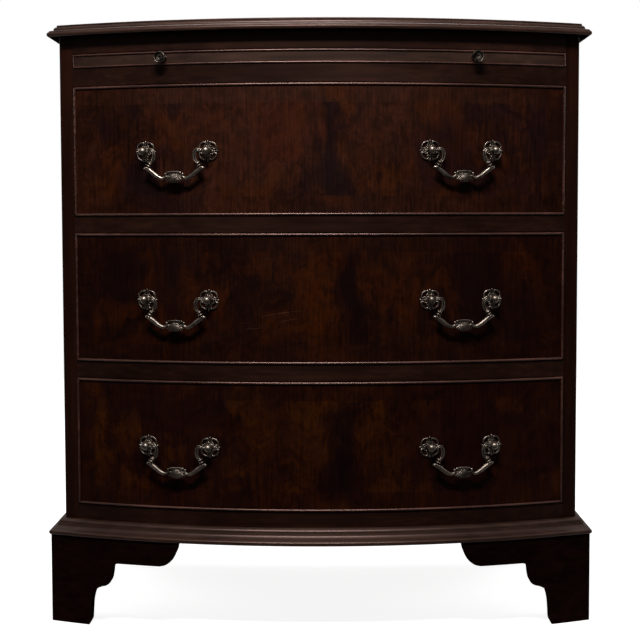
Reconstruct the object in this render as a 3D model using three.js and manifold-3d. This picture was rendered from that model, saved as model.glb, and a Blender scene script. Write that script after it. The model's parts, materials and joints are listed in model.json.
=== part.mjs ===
// A bow front chest of drawers with a brushing slide, bracket feet and swan neck handles.
// Millimetres, +Z up. X runs across, the bowed front faces -Y and the back is flat.
// The group's origin lies on the floor under the middle of the whole chest.
import * as THREE from "three";
import Module from "manifold-3d";
import { mergeVertices } from "three/addons/utils/BufferGeometryUtils.js";

// Carcase
const CARCASE_WIDTH = 700;
const CARCASE_DEPTH = 400; // from the front corners to the flat back
const BOW = 75; // how far the middle of the front stands before its corners
const SIDE_PANEL = 19; // thickness
const BACK_PANEL = 9; // thickness
const BOTTOM_BOARD = 18; // thickness
const JOINT_GAP = 0.3; // left between neighbours that are cut, curved or turned
const OVERRUN = 5; // how far a cutting solid runs past the face that it cuts

// Heights, from the floor up
const FOOT_HEIGHT = 120;
const BASE_RAIL_HEIGHT = 42;
const DRAWER_OPENING = 173.4;
const DRAWER_RAIL_HEIGHT = 22.4;
const SLIDE_RAIL_HEIGHT = 24.4;
const SLIDE_OPENING = 19;
const TOP_RAIL_HEIGHT = 23.6;
const TOP_THICKNESS = 16;

// Rails, with the tenons that hold them in the side panels, and the runner frames behind them
const RAIL_DEPTH_AT_ENDS = 45;
const TENON_LENGTH = 8;
const TENON_DEPTH = 28;
const TENON_SHOULDER = 4;
const RUNNER_WIDTH = 42;
const DUST_PANEL = 6; // thickness

// Edge of the top, out from the carcase face and up from the underside
const TOP_OVERHANG = 15.3;
const TOP_EDGE_SHARES = [
  [0.88, 0],
  [0.97, 0.08],
  [1, 0.19],
  [0.97, 0.31],
  [0.87, 0.42],
  [0.7, 0.49],
  [0.48, 0.52],
  [0.46, 0.59],
  [0.33, 0.63],
  [0.23, 0.74],
  [0.2, 0.87],
  [0.12, 1],
];

// Moulding round the base, out from the carcase face and up from its underside
const BASE_REACH = 20.8;
const BASE_HEIGHT = 21;
const BASE_EDGE_SHARES = [
  [0.93, 0],
  [1, 0.08],
  [1, 0.2],
  [0.93, 0.28],
  [0.7, 0.38],
  [0.52, 0.53],
  [0.46, 0.68],
  [0.4, 0.7],
  [0.36, 0.84],
  [0.25, 0.95],
  [0.12, 1],
];

// Bracket feet
const FOOT_REACH = 18.2; // the bracket's face, out from the carcase face
const FOOT_BRACKET = 24; // thickness
const FRONT_BRACKET_LENGTH = 180;
const SIDE_BRACKET_LENGTH = 150;
const BACK_BRACKET_LENGTH = 110;
const FOOT_BLOCK = 38; // square glue block in the corner
const FOOT_BLOCK_LIFT = 30; // how far the block stays above the floor
// The bracket's inner edge, in shares of its length and height, from the toe up to the top.
const FOOT_EDGE_SHARES = [
  [0.3, 0],
  [0.315, 0.04],
  [0.32, 0.15],
  [0.329, 0.28],
  [0.356, 0.402],
  [0.4, 0.447],
  [0.44, 0.466],
  [0.475, 0.51],
  [0.488, 0.59],
  [0.494, 0.66],
  [0.506, 0.71],
  [0.535, 0.725],
  [0.855, 0.725],
  [0.905, 0.747],
  [0.955, 0.81],
  [0.988, 0.9],
  [1, 1],
];

// Drawers
const DRAWER_GAP = 0.7; // round the front, in its opening
const RUN_GAP = 0.3; // under the sides, on the runners
const DRAWER_FRONT = 20; // thickness
const DRAWER_SIDE = 10; // thickness
const DRAWER_SIDE_CLEARANCE = 21.1; // from the side's upper edge to the top of the opening
const DRAWER_BACK = 10; // thickness
const DRAWER_BACK_DROP = 8; // how far the back stays below the sides
const DRAWER_BOTTOM = 6; // thickness
const DRAWER_BOTTOM_LIFT = 9; // from the lower edge of the side
const GROOVE_DEPTH = 5;
const DRAWER_END_ROOM = 18; // between the closed drawer and the back panel
const TAIL_COUNT = 4;
const TAIL_LENGTH = 10;
const TAIL_ROOT = 16; // height of a dovetail at its root
const TAIL_TIP = 21; // height of a dovetail at its tip
const TAIL_MARGIN = 22; // from the side's upper and lower edge to the nearest tail's middle

// Cock bead round each drawer front and round the slide's edge
const BEAD_WIDTH = 3;
const BEAD_PROUD = 2.3;
const BEAD_REBATE = 7;
const SLIDE_BEAD_WIDTH = 2.4;
const SLIDE_BEAD_PROUD = 1.8;
const SLIDE_BEAD_REBATE = 6;

// Brushing slide
const SLIDE_GAP = 0.7; // round the slide, in its opening
const SLIDE_END_ROOM = 55; // between the closed slide and the back panel
const SLIDE_KNOB_OUT_SHARE = 0.5857; // of half the chest's width, from its middle
const SLIDE_KNOB_RADIUS = 8.25;
const SLIDE_KNOB_HEIGHT = 15;
const SLIDE_KNOB_NECK = 3.6; // radius
const SLIDE_KNOB_SCREW = 2.2; // radius
const SLIDE_KNOB_SCREW_LENGTH = 14;
const SLIDE_KNOB_DISH = 6; // radius of the hollow in the knob's face
const SLIDE_KNOB_DISH_DEPTH = 1.6;

// Handles
const HANDLE_OUT_SHARE = 0.536; // of half the chest's width, from its middle to a handle's
const HANDLE_DROP = 1.7; // below the middle of the drawer
const POST_SPACING = 85.7; // between the posts, on the face
const AXIS_STANDOFF = 12.5; // from the face to the middle of the ball
const ROSETTE_RADIUS = 14.25;
const ROSETTE_DIP = 2.2; // how far the edge draws in between lobes
const ROSETTE_THICKNESS = 1.8;
const ROSETTE_HOLE = 2.5; // radius
const ROSETTE_HOLE_OUT = 8.4;
const BALL_RADIUS = 5.8;
const POST_RADIUS = 3.6;
const POST_COLLAR = 5.2; // radius of the ring at the post's foot
const POST_COLLAR_HEIGHT = 2;
const STEM_RADIUS = 2.4;
const STEM_PAST_NUT = 3;
const NUT_RADIUS = 5;
const NUT_HEIGHT = 4;
const PIN_RADIUS = 1.3;
const PIN_GAP = 0.4; // round the pin, in its bore
const PIN_SETBACK = 1.6; // from the middle of the ball to the pin's end

// Bail, in shares of half the span between the balls and of its drop below the axis
const BAIL_DROP = 41.4;
const ARM_RADIUS = 1.75;
const BAR_RADIUS = 2.7;
// Across share, down share and share of the arm's radius, from the ball to the bar.
const ARM_SHARES = [
  [0.165, 0, 0.9],
  [0.21, -0.022, 0.92],
  [0.27, -0.022, 0.95],
  [0.315, 0.045, 1],
  [0.325, 0.14, 1],
  [0.29, 0.29, 1.05],
  [0.222, 0.384, 1],
  [0.185, 0.418, 1],
];
const COLLAR_SHARES = [
  [0.182, 0.422, 1.5],
  [0.166, 0.438, 1.5],
  [0.158, 0.447, 1],
  [0.15, 0.456, 1.5],
  [0.134, 0.472, 1.5],
  [0.126, 0.482, 1],
  [0.12, 0.53, 0.9],
];
// Across share, down share and share of the bar's radius, from the tip to the shell.
const BAR_SHARES = [
  [0.02, 0.54, 0.2],
  [0.06, 0.518, 0.6],
  [0.15, 0.55, 0.9],
  [0.315, 0.65, 1],
  [0.473, 0.78, 0.96],
  [0.57, 0.82, 0.85],
  [0.68, 0.81, 0.7],
  [0.8, 0.81, 0.6],
  [1, 0.81, 0.6],
];
const SHELL_HALF_WIDTH = 12;
const SHELL_HEIGHT = 15.6;
const SHELL_FLUTES = 9;
const SHELL_NOTCH = 1.3; // how far the edge draws in between flutes
const SHELL_ARCH = 1.2; // how far the top edge rises in its middle
const SHELL_BULGE = 3.4; // in front of the bail's plane
const SHELL_BACK = 2.2; // behind the bail's plane
// Share of the outline and share of the bulge, or of the back where it is negative.
const SHELL_DOME_SHARES = [
  [0.72, -1],
  [1, -0.2],
  [0.8, 0.62],
  [0.36, 1],
];
const SHELL_FAN_SHARE = 0.44; // of a full turn, that the flutes spread over
const SHELL_ROUND_SHARES = [-0.3, 0.3]; // of a flute, where its round end has corners
const SHELL_TOP_SHARES = [0.6, 0, -0.6]; // of half the width, where the arched top has corners

// Counts
const ARC_STEPS = 16; // along the bow
const ROUND_STEPS = 8; // round a turned piece
const TUBE_SIDES = 6;
const CURVE_STEPS = 1; // between two points of the bail
const ROSETTE_LOBES = 8;
const ROSETTE_STEPS = 24;
const ROSETTE_HOLES = 4;
const HOLE_SIDES = 5;
const NUT_SIDES = 6;
const BALL_STEPS = 4;
// Between its last step at each end the bow is divided alike on every piece, over this share of
// the width, so that curved neighbours lie parallel.
const ARC_CORE_SHARE = 0.88;

// Colours and finishes
const MAHOGANY = { color: 0x2a1413, roughness: 0.3, metalness: 0 };
const FLAME_VENEER = { color: 0x3a1c15, roughness: 0.28, metalness: 0 };
const BEAD_MAHOGANY = { color: 0x3b2120, roughness: 0.3, metalness: 0 };
const PLAIN_MAHOGANY = { color: 0x5a3322, roughness: 0.6, metalness: 0 };
const DRAWER_OAK = { color: 0x9a7548, roughness: 0.7, metalness: 0 };
const BACK_PLY = { color: 0x7a5736, roughness: 0.75, metalness: 0 };
const ANTIQUE_BRASS = { color: 0x75695a, roughness: 0.4, metalness: 1 };

// Sizes that follow
const halfWidth = CARCASE_WIDTH / 2;
const halfOpening = halfWidth - SIDE_PANEL;
const bowRadius = (halfWidth ** 2 + BOW ** 2) / (2 * BOW);
const bowCentreY = bowRadius - BOW;
const backPanelFace = CARCASE_DEPTH - BACK_PANEL;
const drawerPitch = DRAWER_OPENING + DRAWER_RAIL_HEIGHT;
const bottomOpeningZ = FOOT_HEIGHT + BASE_RAIL_HEIGHT;
const middleOpeningZ = bottomOpeningZ + drawerPitch;
const topOpeningZ = middleOpeningZ + drawerPitch;
const slideRailZ = topOpeningZ + DRAWER_OPENING;
const slideOpeningZ = slideRailZ + SLIDE_RAIL_HEIGHT;
const topRailZ = slideOpeningZ + SLIDE_OPENING;
const topBoardZ = topRailZ + TOP_RAIL_HEIGHT;

const wasm = await Module();
wasm.setup();

// A closed mesh as a solid, turned so that its faces point out.
function solid(geometry) {
  const bare = geometry.clone();
  bare.deleteAttribute("normal");
  bare.deleteAttribute("uv");
  const merged = mergeVertices(bare);
  const made = (flip) => {
    const triVerts = new Uint32Array(merged.index.array);
    if (flip) triVerts.reverse();
    const vertProperties = merged.attributes.position.array;
    return new wasm.Manifold(new wasm.Mesh({ numProp: 3, vertProperties, triVerts }));
  };
  const first = made(false);
  return first.volume() < 0 ? made(true) : first;
}

function geometryOf(body) {
  const { vertProperties, triVerts } = body.getMesh();
  const geometry = new THREE.BufferGeometry();
  geometry.setAttribute("position", new THREE.BufferAttribute(vertProperties, 3));
  geometry.setIndex(new THREE.BufferAttribute(triVerts, 1));
  geometry.computeVertexNormals();
  return geometry;
}

function named(name, body, finish) {
  const mesh = new THREE.Mesh(geometryOf(body), new THREE.MeshStandardMaterial(finish));
  mesh.name = name;
  return mesh;
}

function mirrored(name, body, finish) {
  const mesh = named(name, body, finish);
  mesh.scale.x = -1;
  return mesh;
}

function at(object, x, y, z) {
  object.position.set(x, y, z);
  return object;
}

// Loops of equal length joined by bands, with a cap on the first and last loop, or as a ring.
function loft(loops, capFaces) {
  const size = loops[0].length;
  const faces = [];
  const bands = capFaces ? loops.length - 1 : loops.length;
  for (let band = 0; band < bands; band += 1) {
    const here = band * size;
    const there = ((band + 1) % loops.length) * size;
    for (let corner = 0; corner < size; corner += 1) {
      const next = (corner + 1) % size;
      faces.push(here + corner, here + next, there + next);
      faces.push(here + corner, there + next, there + corner);
    }
  }
  const last = (loops.length - 1) * size;
  for (const [a, b, c] of capFaces ?? []) {
    faces.push(c, b, a);
    faces.push(last + a, last + b, last + c);
  }
  const geometry = new THREE.BufferGeometry().setFromPoints(loops.flat());
  geometry.setIndex(faces);
  return solid(geometry);
}

// Cap for a loop made of one row of points and a second row that comes back beside it.
function stripFaces(rowLength) {
  const faces = [];
  const end = 2 * rowLength - 1;
  for (let step = 0; step < rowLength - 1; step += 1) {
    faces.push([step, step + 1, end - step - 1]);
    faces.push([step, end - step - 1, end - step]);
  }
  return faces;
}

function outlineFaces(outline) {
  return THREE.ShapeUtils.triangulateShape(outline, []);
}

// Extrudes an outline along one axis, from start to end. The outline holds the two other
// coordinates, in the order x y, y z or x z.
function prism(axis, outline, start, end) {
  const shape = new THREE.Shape(outline.map(([u, v]) => new THREE.Vector2(u, v)));
  const geometry = new THREE.ExtrudeGeometry(shape, { depth: end - start, bevelEnabled: false });
  geometry.translate(0, 0, axis === "y" ? -end : start);
  const [x, y, z] = [
    new THREE.Vector3(1, 0, 0),
    new THREE.Vector3(0, 1, 0),
    new THREE.Vector3(0, 0, 1),
  ];
  const basis = { x: [y, z, x], y: [x, z, y.clone().negate()], z: [x, y, z] }[axis];
  geometry.applyMatrix4(new THREE.Matrix4().makeBasis(...basis));
  return solid(geometry);
}

function box(x0, x1, y0, y1, z0, z1) {
  const geometry = new THREE.BoxGeometry(x1 - x0, y1 - y0, z1 - z0);
  geometry.translate((x0 + x1) / 2, (y0 + y1) / 2, (z0 + z1) / 2);
  return solid(geometry);
}

// The height of the front in plan: the Y of a face that stands out from the carcase's bow.
function bowY(x, out) {
  return bowCentreY - Math.sqrt((bowRadius + out) ** 2 - x ** 2);
}

function bowTurn(x) {
  return Math.asin(x / bowRadius);
}

const coreSteps = ARC_STEPS - 2;
const coreTurn = bowTurn(ARC_CORE_SHARE * halfWidth);
const coreTurns = Array.from(
  { length: coreSteps + 1 },
  (_, step) => coreTurn * ((2 * step) / coreSteps - 1),
);

function pointOnBow(turn, out, z) {
  const radius = bowRadius + out;
  return new THREE.Vector3(radius * Math.sin(turn), bowCentreY - radius * Math.cos(turn), z);
}

function arcRow(reach, out, z) {
  const end = Math.asin(reach / (bowRadius + out));
  return [-end, ...coreTurns, end].map((turn) => pointOnBow(turn, out, z));
}

function straightRow(reach, y, z) {
  const spread = coreTurns.map((turn) => ARC_CORE_SHARE * (turn / coreTurn));
  return [-1, ...spread, 1].map((share) => new THREE.Vector3(reach * share, y, z));
}

// A block seen from the front: each station insets its edges and lies on the bow or on a plane.
function bowedLoops(reach, low, high, stations) {
  return stations.map(({ inset = 0, out, y }) => {
    const across = reach - inset;
    const row = (z) => (y === undefined ? arcRow(across, out, z) : straightRow(across, y, z));
    return [...row(low + inset), ...row(high - inset).reverse()];
  });
}

function bowedBlock(reach, low, high, stations) {
  return loft(bowedLoops(reach, low, high, stations), stripFaces(ARC_STEPS + 1));
}

// A bead that frames a bowed face, with a round nose.
function beadFrame(reach, low, high, width, proud, rebate) {
  const shoulder = proud - width / 2;
  const stations = [
    { inset: 0, out: JOINT_GAP - rebate },
    { inset: 0, out: shoulder },
    { inset: width / 4, out: proud },
    { inset: (3 * width) / 4, out: proud },
    { inset: width, out: shoulder },
    { inset: width, out: JOINT_GAP - rebate },
  ];
  return loft(bowedLoops(reach, low, high, stations), null);
}

// Turned pieces: pairs of radius and height, out from the face along -Y.
function turned(profile) {
  const points = profile.map(([radius, height]) => new THREE.Vector2(radius, height));
  return solid(new THREE.LatheGeometry(points, ROUND_STEPS).rotateX(Math.PI));
}

// A bore or rod whose axis starts on the face at a turn of the bow and points out of it.
function rodOnBow(turn, z, radius, from, to) {
  const geometry = new THREE.CylinderGeometry(radius, radius, to - from, ROUND_STEPS);
  geometry.translate(0, -(from + to) / 2, 0);
  geometry.rotateZ(turn);
  return solid(geometry.translate(...pointOnBow(turn, 0, z)));
}

// Turns and places an object that was made on the plane y = 0 so that it sits on the bow.
function onBow(object, turn, out, z) {
  object.rotation.z = turn;
  object.position.copy(pointOnBow(turn, out, z));
  return object;
}

const chest = new THREE.Group();

// Side panels, with mortises for the rails' tenons
const rails = [
  { name: "rail_bottom", z: FOOT_HEIGHT, height: BASE_RAIL_HEIGHT },
  { name: "rail_lower", z: bottomOpeningZ + DRAWER_OPENING, height: DRAWER_RAIL_HEIGHT },
  { name: "rail_upper", z: middleOpeningZ + DRAWER_OPENING, height: DRAWER_RAIL_HEIGHT },
  { name: "rail_under_slide", z: slideRailZ, height: SLIDE_RAIL_HEIGHT },
  { name: "rail_top", z: topRailZ, height: TOP_RAIL_HEIGHT },
];
const tenonBack = RAIL_DEPTH_AT_ENDS - TENON_SHOULDER;
const tenonFront = tenonBack - TENON_DEPTH;

function tenon(side, z, height, gap) {
  const root = side * (halfOpening - OVERRUN);
  const tip = side * (halfOpening + TENON_LENGTH + gap);
  const [low, high] = [z + TENON_SHOULDER - gap, z + height - TENON_SHOULDER + gap];
  const [x0, x1] = [Math.min(root, tip), Math.max(root, tip)];
  return box(x0, x1, tenonFront - gap, tenonBack + gap, low, high);
}

function sidePanel() {
  const outline = [
    [halfOpening, bowY(halfOpening, 0)],
    [halfWidth, bowY(halfWidth, 0)],
    [halfWidth, CARCASE_DEPTH],
    [halfOpening, CARCASE_DEPTH],
  ];
  let panel = prism("z", outline, FOOT_HEIGHT, topBoardZ);
  for (const { z, height } of rails) {
    panel = panel.subtract(tenon(1, z, height, JOINT_GAP));
  }
  return panel;
}

const panel = sidePanel();
chest.add(named("side_panel_right", panel, MAHOGANY), mirrored("side_panel_left", panel, MAHOGANY));

for (const { name, z, height } of rails) {
  const stations = [{ out: 0 }, { y: RAIL_DEPTH_AT_ENDS }];
  let rail = bowedBlock(halfOpening, z, z + height, stations);
  for (const side of [-1, 1]) {
    rail = rail.add(tenon(side, z, height, 0));
  }
  chest.add(named(name, rail, MAHOGANY));
}

// Back, bottom and the runner frames with their thin dust panels
const insideReach = halfOpening - JOINT_GAP;
const frameFront = RAIL_DEPTH_AT_ENDS + JOINT_GAP;
const frameBack = backPanelFace - JOINT_GAP;
const backPanel = box(-insideReach, insideReach, backPanelFace, CARCASE_DEPTH, FOOT_HEIGHT, topBoardZ);
chest.add(named("back_panel", backPanel, BACK_PLY));
const bottomBoard = box(
  -insideReach,
  insideReach,
  frameFront,
  frameBack,
  bottomOpeningZ - BOTTOM_BOARD,
  bottomOpeningZ,
);
chest.add(named("carcase_bottom", bottomBoard, PLAIN_MAHOGANY));

function runnerFrame(z, height) {
  const inner = insideReach - RUNNER_WIDTH;
  const panelLow = z + (height - DUST_PANEL) / 2;
  const panelHigh = panelLow + DUST_PANEL;
  const right = [
    [inner, panelLow],
    [inner, z],
    [insideReach, z],
    [insideReach, z + height],
    [inner, z + height],
    [inner, panelHigh],
  ];
  const left = right.map(([x, up]) => [-x, up]).reverse();
  return prism("y", [...right, ...left], frameFront, frameBack);
}

const frames = [
  { name: "dust_board_lower", rail: rails[1] },
  { name: "dust_board_upper", rail: rails[2] },
  { name: "dust_board_slide", rail: rails[3] },
];
for (const { name, rail } of frames) {
  chest.add(named(name, runnerFrame(rail.z, rail.height), PLAIN_MAHOGANY));
}

// Top board, its moulded edge on the front and the two sides
function topBoard() {
  const loops = TOP_EDGE_SHARES.map(([acrossShare, upShare]) => {
    const out = TOP_OVERHANG * acrossShare;
    const z = TOP_THICKNESS * upShare;
    const reach = halfWidth + out;
    return [...arcRow(reach, out, z), ...straightRow(reach, CARCASE_DEPTH, z).reverse()];
  });
  return loft(loops, stripFaces(ARC_STEPS + 1));
}

chest.add(at(named("top_board", topBoard(), MAHOGANY), 0, 0, topBoardZ));

// Base moulding, mitred at the front corners
function baseProfile() {
  const edge = BASE_EDGE_SHARES.map(([outShare, upShare]) => [
    BASE_REACH * outShare,
    BASE_HEIGHT * upShare,
  ]);
  return [[JOINT_GAP, 0], ...edge, [JOINT_GAP, BASE_HEIGHT]];
}

function baseFront(profile) {
  const mitreGap = JOINT_GAP / 2;
  const end = (side) =>
    profile.map(([out, z]) => {
      const turn = Math.asin((halfWidth + out - mitreGap) / (bowRadius + out));
      return pointOnBow(side * turn, out, z);
    });
  const middle = coreTurns.map((turn) => profile.map(([out, z]) => pointOnBow(turn, out, z)));
  const outline = profile.map(([out, z]) => new THREE.Vector2(out, z));
  return loft([end(-1), ...middle, end(1)], outlineFaces(outline));
}

function baseSide(profile) {
  const mitreGap = JOINT_GAP / 2;
  const front = profile.map(([out, z]) => {
    const x = halfWidth + out;
    return new THREE.Vector3(x, bowY(x, out) + mitreGap, z);
  });
  const back = profile.map(([out, z]) => new THREE.Vector3(halfWidth + out, CARCASE_DEPTH, z));
  const outline = profile.map(([out, z]) => new THREE.Vector2(out, z));
  return loft([front, back], outlineFaces(outline));
}

const profile = baseProfile();
const sideMoulding = baseSide(profile);
chest.add(
  at(named("base_moulding_front", baseFront(profile), MAHOGANY), 0, 0, FOOT_HEIGHT),
  at(named("base_moulding_right", sideMoulding, MAHOGANY), 0, 0, FOOT_HEIGHT),
  at(mirrored("base_moulding_left", sideMoulding, MAHOGANY), 0, 0, FOOT_HEIGHT),
);

// Bracket feet: two shaped brackets that meet at the corner, and a block glued behind them
const footReach = halfWidth + FOOT_REACH;
const footCornerY = bowY(footReach, FOOT_REACH);

// The bracket's outline from its outer end at zero towards the middle of the chest.
function bracketOutline(length) {
  const edge = FOOT_EDGE_SHARES.map(([acrossShare, upShare]) => [
    length * acrossShare,
    FOOT_HEIGHT * upShare,
  ]);
  return [[0, 0], ...edge, [0, FOOT_HEIGHT]];
}

function sideBracket(fromY, direction) {
  const outline = bracketOutline(SIDE_BRACKET_LENGTH).map(([along, z]) => [
    fromY + direction * along,
    z,
  ]);
  return prism("x", outline, footReach - FOOT_BRACKET, footReach);
}

function footBlock(y0, y1) {
  const outer = footReach - FOOT_BRACKET / 2;
  const inner = footReach - FOOT_BRACKET - FOOT_BLOCK;
  return box(inner, outer, y0, y1, FOOT_BLOCK_LIFT, FOOT_HEIGHT);
}

function frontFoot() {
  const outline = bracketOutline(FRONT_BRACKET_LENGTH).map(([along, z]) => [footReach - along, z]);
  const slab = prism("y", outline, -BOW - FOOT_REACH, CARCASE_DEPTH);
  const faces = [{ out: FOOT_REACH }, { out: FOOT_REACH - FOOT_BRACKET }];
  const band = bowedBlock(footReach, -OVERRUN, FOOT_HEIGHT + OVERRUN, faces);
  const behind = footCornerY + FOOT_BRACKET;
  return slab
    .intersect(band)
    .add(sideBracket(footCornerY, 1))
    .add(footBlock(behind - FOOT_BRACKET / 2, behind + FOOT_BLOCK));
}

function backFoot() {
  const outline = bracketOutline(BACK_BRACKET_LENGTH).map(([along, z]) => [footReach - along, z]);
  const inside = CARCASE_DEPTH - FOOT_BRACKET;
  return prism("y", outline, inside, CARCASE_DEPTH)
    .add(sideBracket(CARCASE_DEPTH, -1))
    .add(footBlock(inside - FOOT_BLOCK, inside + FOOT_BRACKET / 2));
}

const front = frontFoot();
const back = backFoot();
chest.add(
  named("foot_front_right", front, MAHOGANY),
  mirrored("foot_front_left", front, MAHOGANY),
  named("foot_back_right", back, MAHOGANY),
  mirrored("foot_back_left", back, MAHOGANY),
);

// Handles: a pierced rosette with its ball on a post, a stem through the drawer front with a nut
// behind, and a bail whose pins turn in the balls.
const handleTurn = bowTurn(halfWidth * HANDLE_OUT_SHARE);
const postTurn = Math.asin(POST_SPACING / 2 / bowRadius);
const axisRadius = bowRadius + AXIS_STANDOFF;
const halfSpan = axisRadius * Math.sin(postTurn);
const axisOut = axisRadius * Math.cos(postTurn) - bowRadius;

function rosette() {
  const shape = new THREE.Shape();
  for (let step = 0; step < ROSETTE_STEPS; step += 1) {
    const turn = (step / ROSETTE_STEPS) * 2 * Math.PI;
    const radius = ROSETTE_RADIUS - (ROSETTE_DIP * (1 - Math.cos(ROSETTE_LOBES * turn))) / 2;
    const point = [radius * Math.cos(turn), radius * Math.sin(turn)];
    if (step === 0) shape.moveTo(...point);
    else shape.lineTo(...point);
  }
  for (let hole = 0; hole < ROSETTE_HOLES; hole += 1) {
    const turn = ((hole + 0.5) / ROSETTE_HOLES) * 2 * Math.PI;
    const [x, y] = [ROSETTE_HOLE_OUT * Math.cos(turn), ROSETTE_HOLE_OUT * Math.sin(turn)];
    const corners = Array.from({ length: HOLE_SIDES }, (_, side) => {
      const round = (side / HOLE_SIDES) * 2 * Math.PI;
      return new THREE.Vector2(x + ROSETTE_HOLE * Math.cos(round), y + ROSETTE_HOLE * Math.sin(round));
    });
    shape.holes.push(new THREE.Path(corners));
  }
  const settings = { depth: ROSETTE_THICKNESS, bevelEnabled: false };
  const geometry = new THREE.ExtrudeGeometry(shape, settings).rotateX(Math.PI / 2);
  return solid(geometry.translate(0, -JOINT_GAP, 0));
}

function ballProfile() {
  const start = Math.asin(POST_RADIUS / BALL_RADIUS);
  return Array.from({ length: BALL_STEPS + 1 }, (_, step) => {
    const turn = start + ((Math.PI - start) * step) / BALL_STEPS;
    const radius = step === BALL_STEPS ? 0 : BALL_RADIUS * Math.sin(turn);
    return [radius, AXIS_STANDOFF - BALL_RADIUS * Math.cos(turn)];
  });
}

function handleMount() {
  const nutFace = -DRAWER_FRONT - JOINT_GAP;
  const stemEnd = nutFace - NUT_HEIGHT - STEM_PAST_NUT;
  const plateFace = JOINT_GAP + ROSETTE_THICKNESS;
  const spindle = turned([
    [0, stemEnd],
    [STEM_RADIUS, stemEnd],
    [STEM_RADIUS, JOINT_GAP + ROSETTE_THICKNESS / 2],
    [POST_COLLAR, JOINT_GAP + ROSETTE_THICKNESS / 2],
    [POST_COLLAR, plateFace + POST_COLLAR_HEIGHT],
    [POST_RADIUS, plateFace + POST_COLLAR_HEIGHT],
    ...ballProfile(),
  ]);
  const nut = new THREE.CylinderGeometry(NUT_RADIUS, NUT_RADIUS, NUT_HEIGHT, NUT_SIDES);
  nut.translate(0, NUT_HEIGHT / 2 - nutFace, 0);
  const boreLength = BALL_RADIUS + OVERRUN;
  const boreRadius = PIN_RADIUS + PIN_GAP;
  const bore = new THREE.CylinderGeometry(boreRadius, boreRadius, boreLength, ROUND_STEPS);
  bore.rotateZ(Math.PI / 2).translate(PIN_SETBACK - PIN_GAP + boreLength / 2, 0, 0);
  bore.rotateZ(postTurn).translate(0, -AXIS_STANDOFF, 0);
  return rosette().add(spindle).add(solid(nut)).subtract(solid(bore));
}

// A round bar along points in the plane of the bail: across, up and radius.
function bar(stations) {
  const loops = stations.map(([x, z, radius], index) => {
    const before = stations[Math.max(index - 1, 0)];
    const after = stations[Math.min(index + 1, stations.length - 1)];
    const along = new THREE.Vector2(after[0] - before[0], after[1] - before[1]).normalize();
    return Array.from({ length: TUBE_SIDES }, (_, side) => {
      const turn = (side / TUBE_SIDES) * 2 * Math.PI;
      const lift = radius * Math.cos(turn);
      return new THREE.Vector3(x - along.y * lift, radius * Math.sin(turn), z + along.x * lift);
    });
  });
  const fan = Array.from({ length: TUBE_SIDES - 2 }, (_, side) => [0, side + 1, side + 2]);
  return loft(loops, fan);
}

// Shares to stations, with a smooth curve through them.
function smooth(shares, radius) {
  const points = shares.map(
    ([across, down, thick]) =>
      new THREE.Vector3(-halfSpan * (1 - across), -BAIL_DROP * down, radius * thick),
  );
  const curve = new THREE.CatmullRomCurve3(points);
  return curve.getPoints(CURVE_STEPS * (points.length - 1)).map(({ x, y, z }) => [x, y, z]);
}

function straight(shares, radius) {
  return shares.map(([across, down, thick]) => [
    -halfSpan * (1 - across),
    -BAIL_DROP * down,
    radius * thick,
  ]);
}

function flip(stations) {
  return stations.map(([x, z, radius]) => [-x, z, radius]).reverse();
}

function arm() {
  const pin = [
    [PIN_SETBACK - halfSpan, 0, PIN_RADIUS],
    [BALL_RADIUS - halfSpan, 0, PIN_RADIUS],
  ];
  return [...pin, ...smooth(ARM_SHARES, ARM_RADIUS), ...straight(COLLAR_SHARES, ARM_RADIUS)];
}

// A fan in the middle of the bar, with an arched top and a round end on each flute.
function shellOutline() {
  const spread = SHELL_FAN_SHARE * 2 * Math.PI;
  const onEdge = (flute, notch) => {
    const turn = spread * (flute / SHELL_FLUTES - 1 / 2);
    const [wide, deep] = [SHELL_HALF_WIDTH - notch, SHELL_HEIGHT - SHELL_ARCH - notch];
    return new THREE.Vector2(wide * Math.sin(turn), -deep * Math.cos(turn));
  };
  const edge = [];
  for (let flute = 0; flute < SHELL_FLUTES; flute += 1) {
    if (flute > 0) edge.push(onEdge(flute, SHELL_NOTCH));
    edge.push(...SHELL_ROUND_SHARES.map((share) => onEdge(flute + 1 / 2 + share, 0)));
  }
  const top = SHELL_TOP_SHARES.map(
    (share) => new THREE.Vector2(SHELL_HALF_WIDTH * share, SHELL_ARCH * (1 - share ** 2)),
  );
  return [...edge, ...top];
}

function shell() {
  const outline = shellOutline();
  const topZ = SHELL_HEIGHT - SHELL_ARCH - BAIL_DROP;
  const loops = SHELL_DOME_SHARES.map(([outlineShare, depthShare]) => {
    const y = depthShare < 0 ? -SHELL_BACK * depthShare : -SHELL_BULGE * depthShare;
    const drop = (SHELL_HEIGHT * (1 - outlineShare)) / 2;
    return outline.map(
      (point) => new THREE.Vector3(point.x * outlineShare, y, topZ - drop + point.y * outlineShare),
    );
  });
  return loft(loops, outlineFaces(outline));
}

function bail() {
  const half = smooth(BAR_SHARES, BAR_RADIUS);
  const whole = [...half, ...flip(half).slice(1)];
  return bar(whole).add(bar(arm())).add(bar(flip(arm()))).add(shell());
}

// Drawers
const drawerReach = halfOpening - DRAWER_GAP;
const drawerInside = drawerReach - DRAWER_SIDE;
const drawerEnd = backPanelFace - DRAWER_END_ROOM;
const sideTop = DRAWER_OPENING - DRAWER_SIDE_CLEARANCE;
const sideHeight = sideTop - RUN_GAP;
const bottomLow = RUN_GAP + DRAWER_BOTTOM_LIFT;
const bottomHigh = bottomLow + DRAWER_BOTTOM;
const frontLow = DRAWER_GAP;
const frontHigh = DRAWER_OPENING - DRAWER_GAP;
const handleZ = DRAWER_OPENING / 2 - HANDLE_DROP;
const frontInnerY = (x) => bowY(x, -DRAWER_FRONT);

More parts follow.
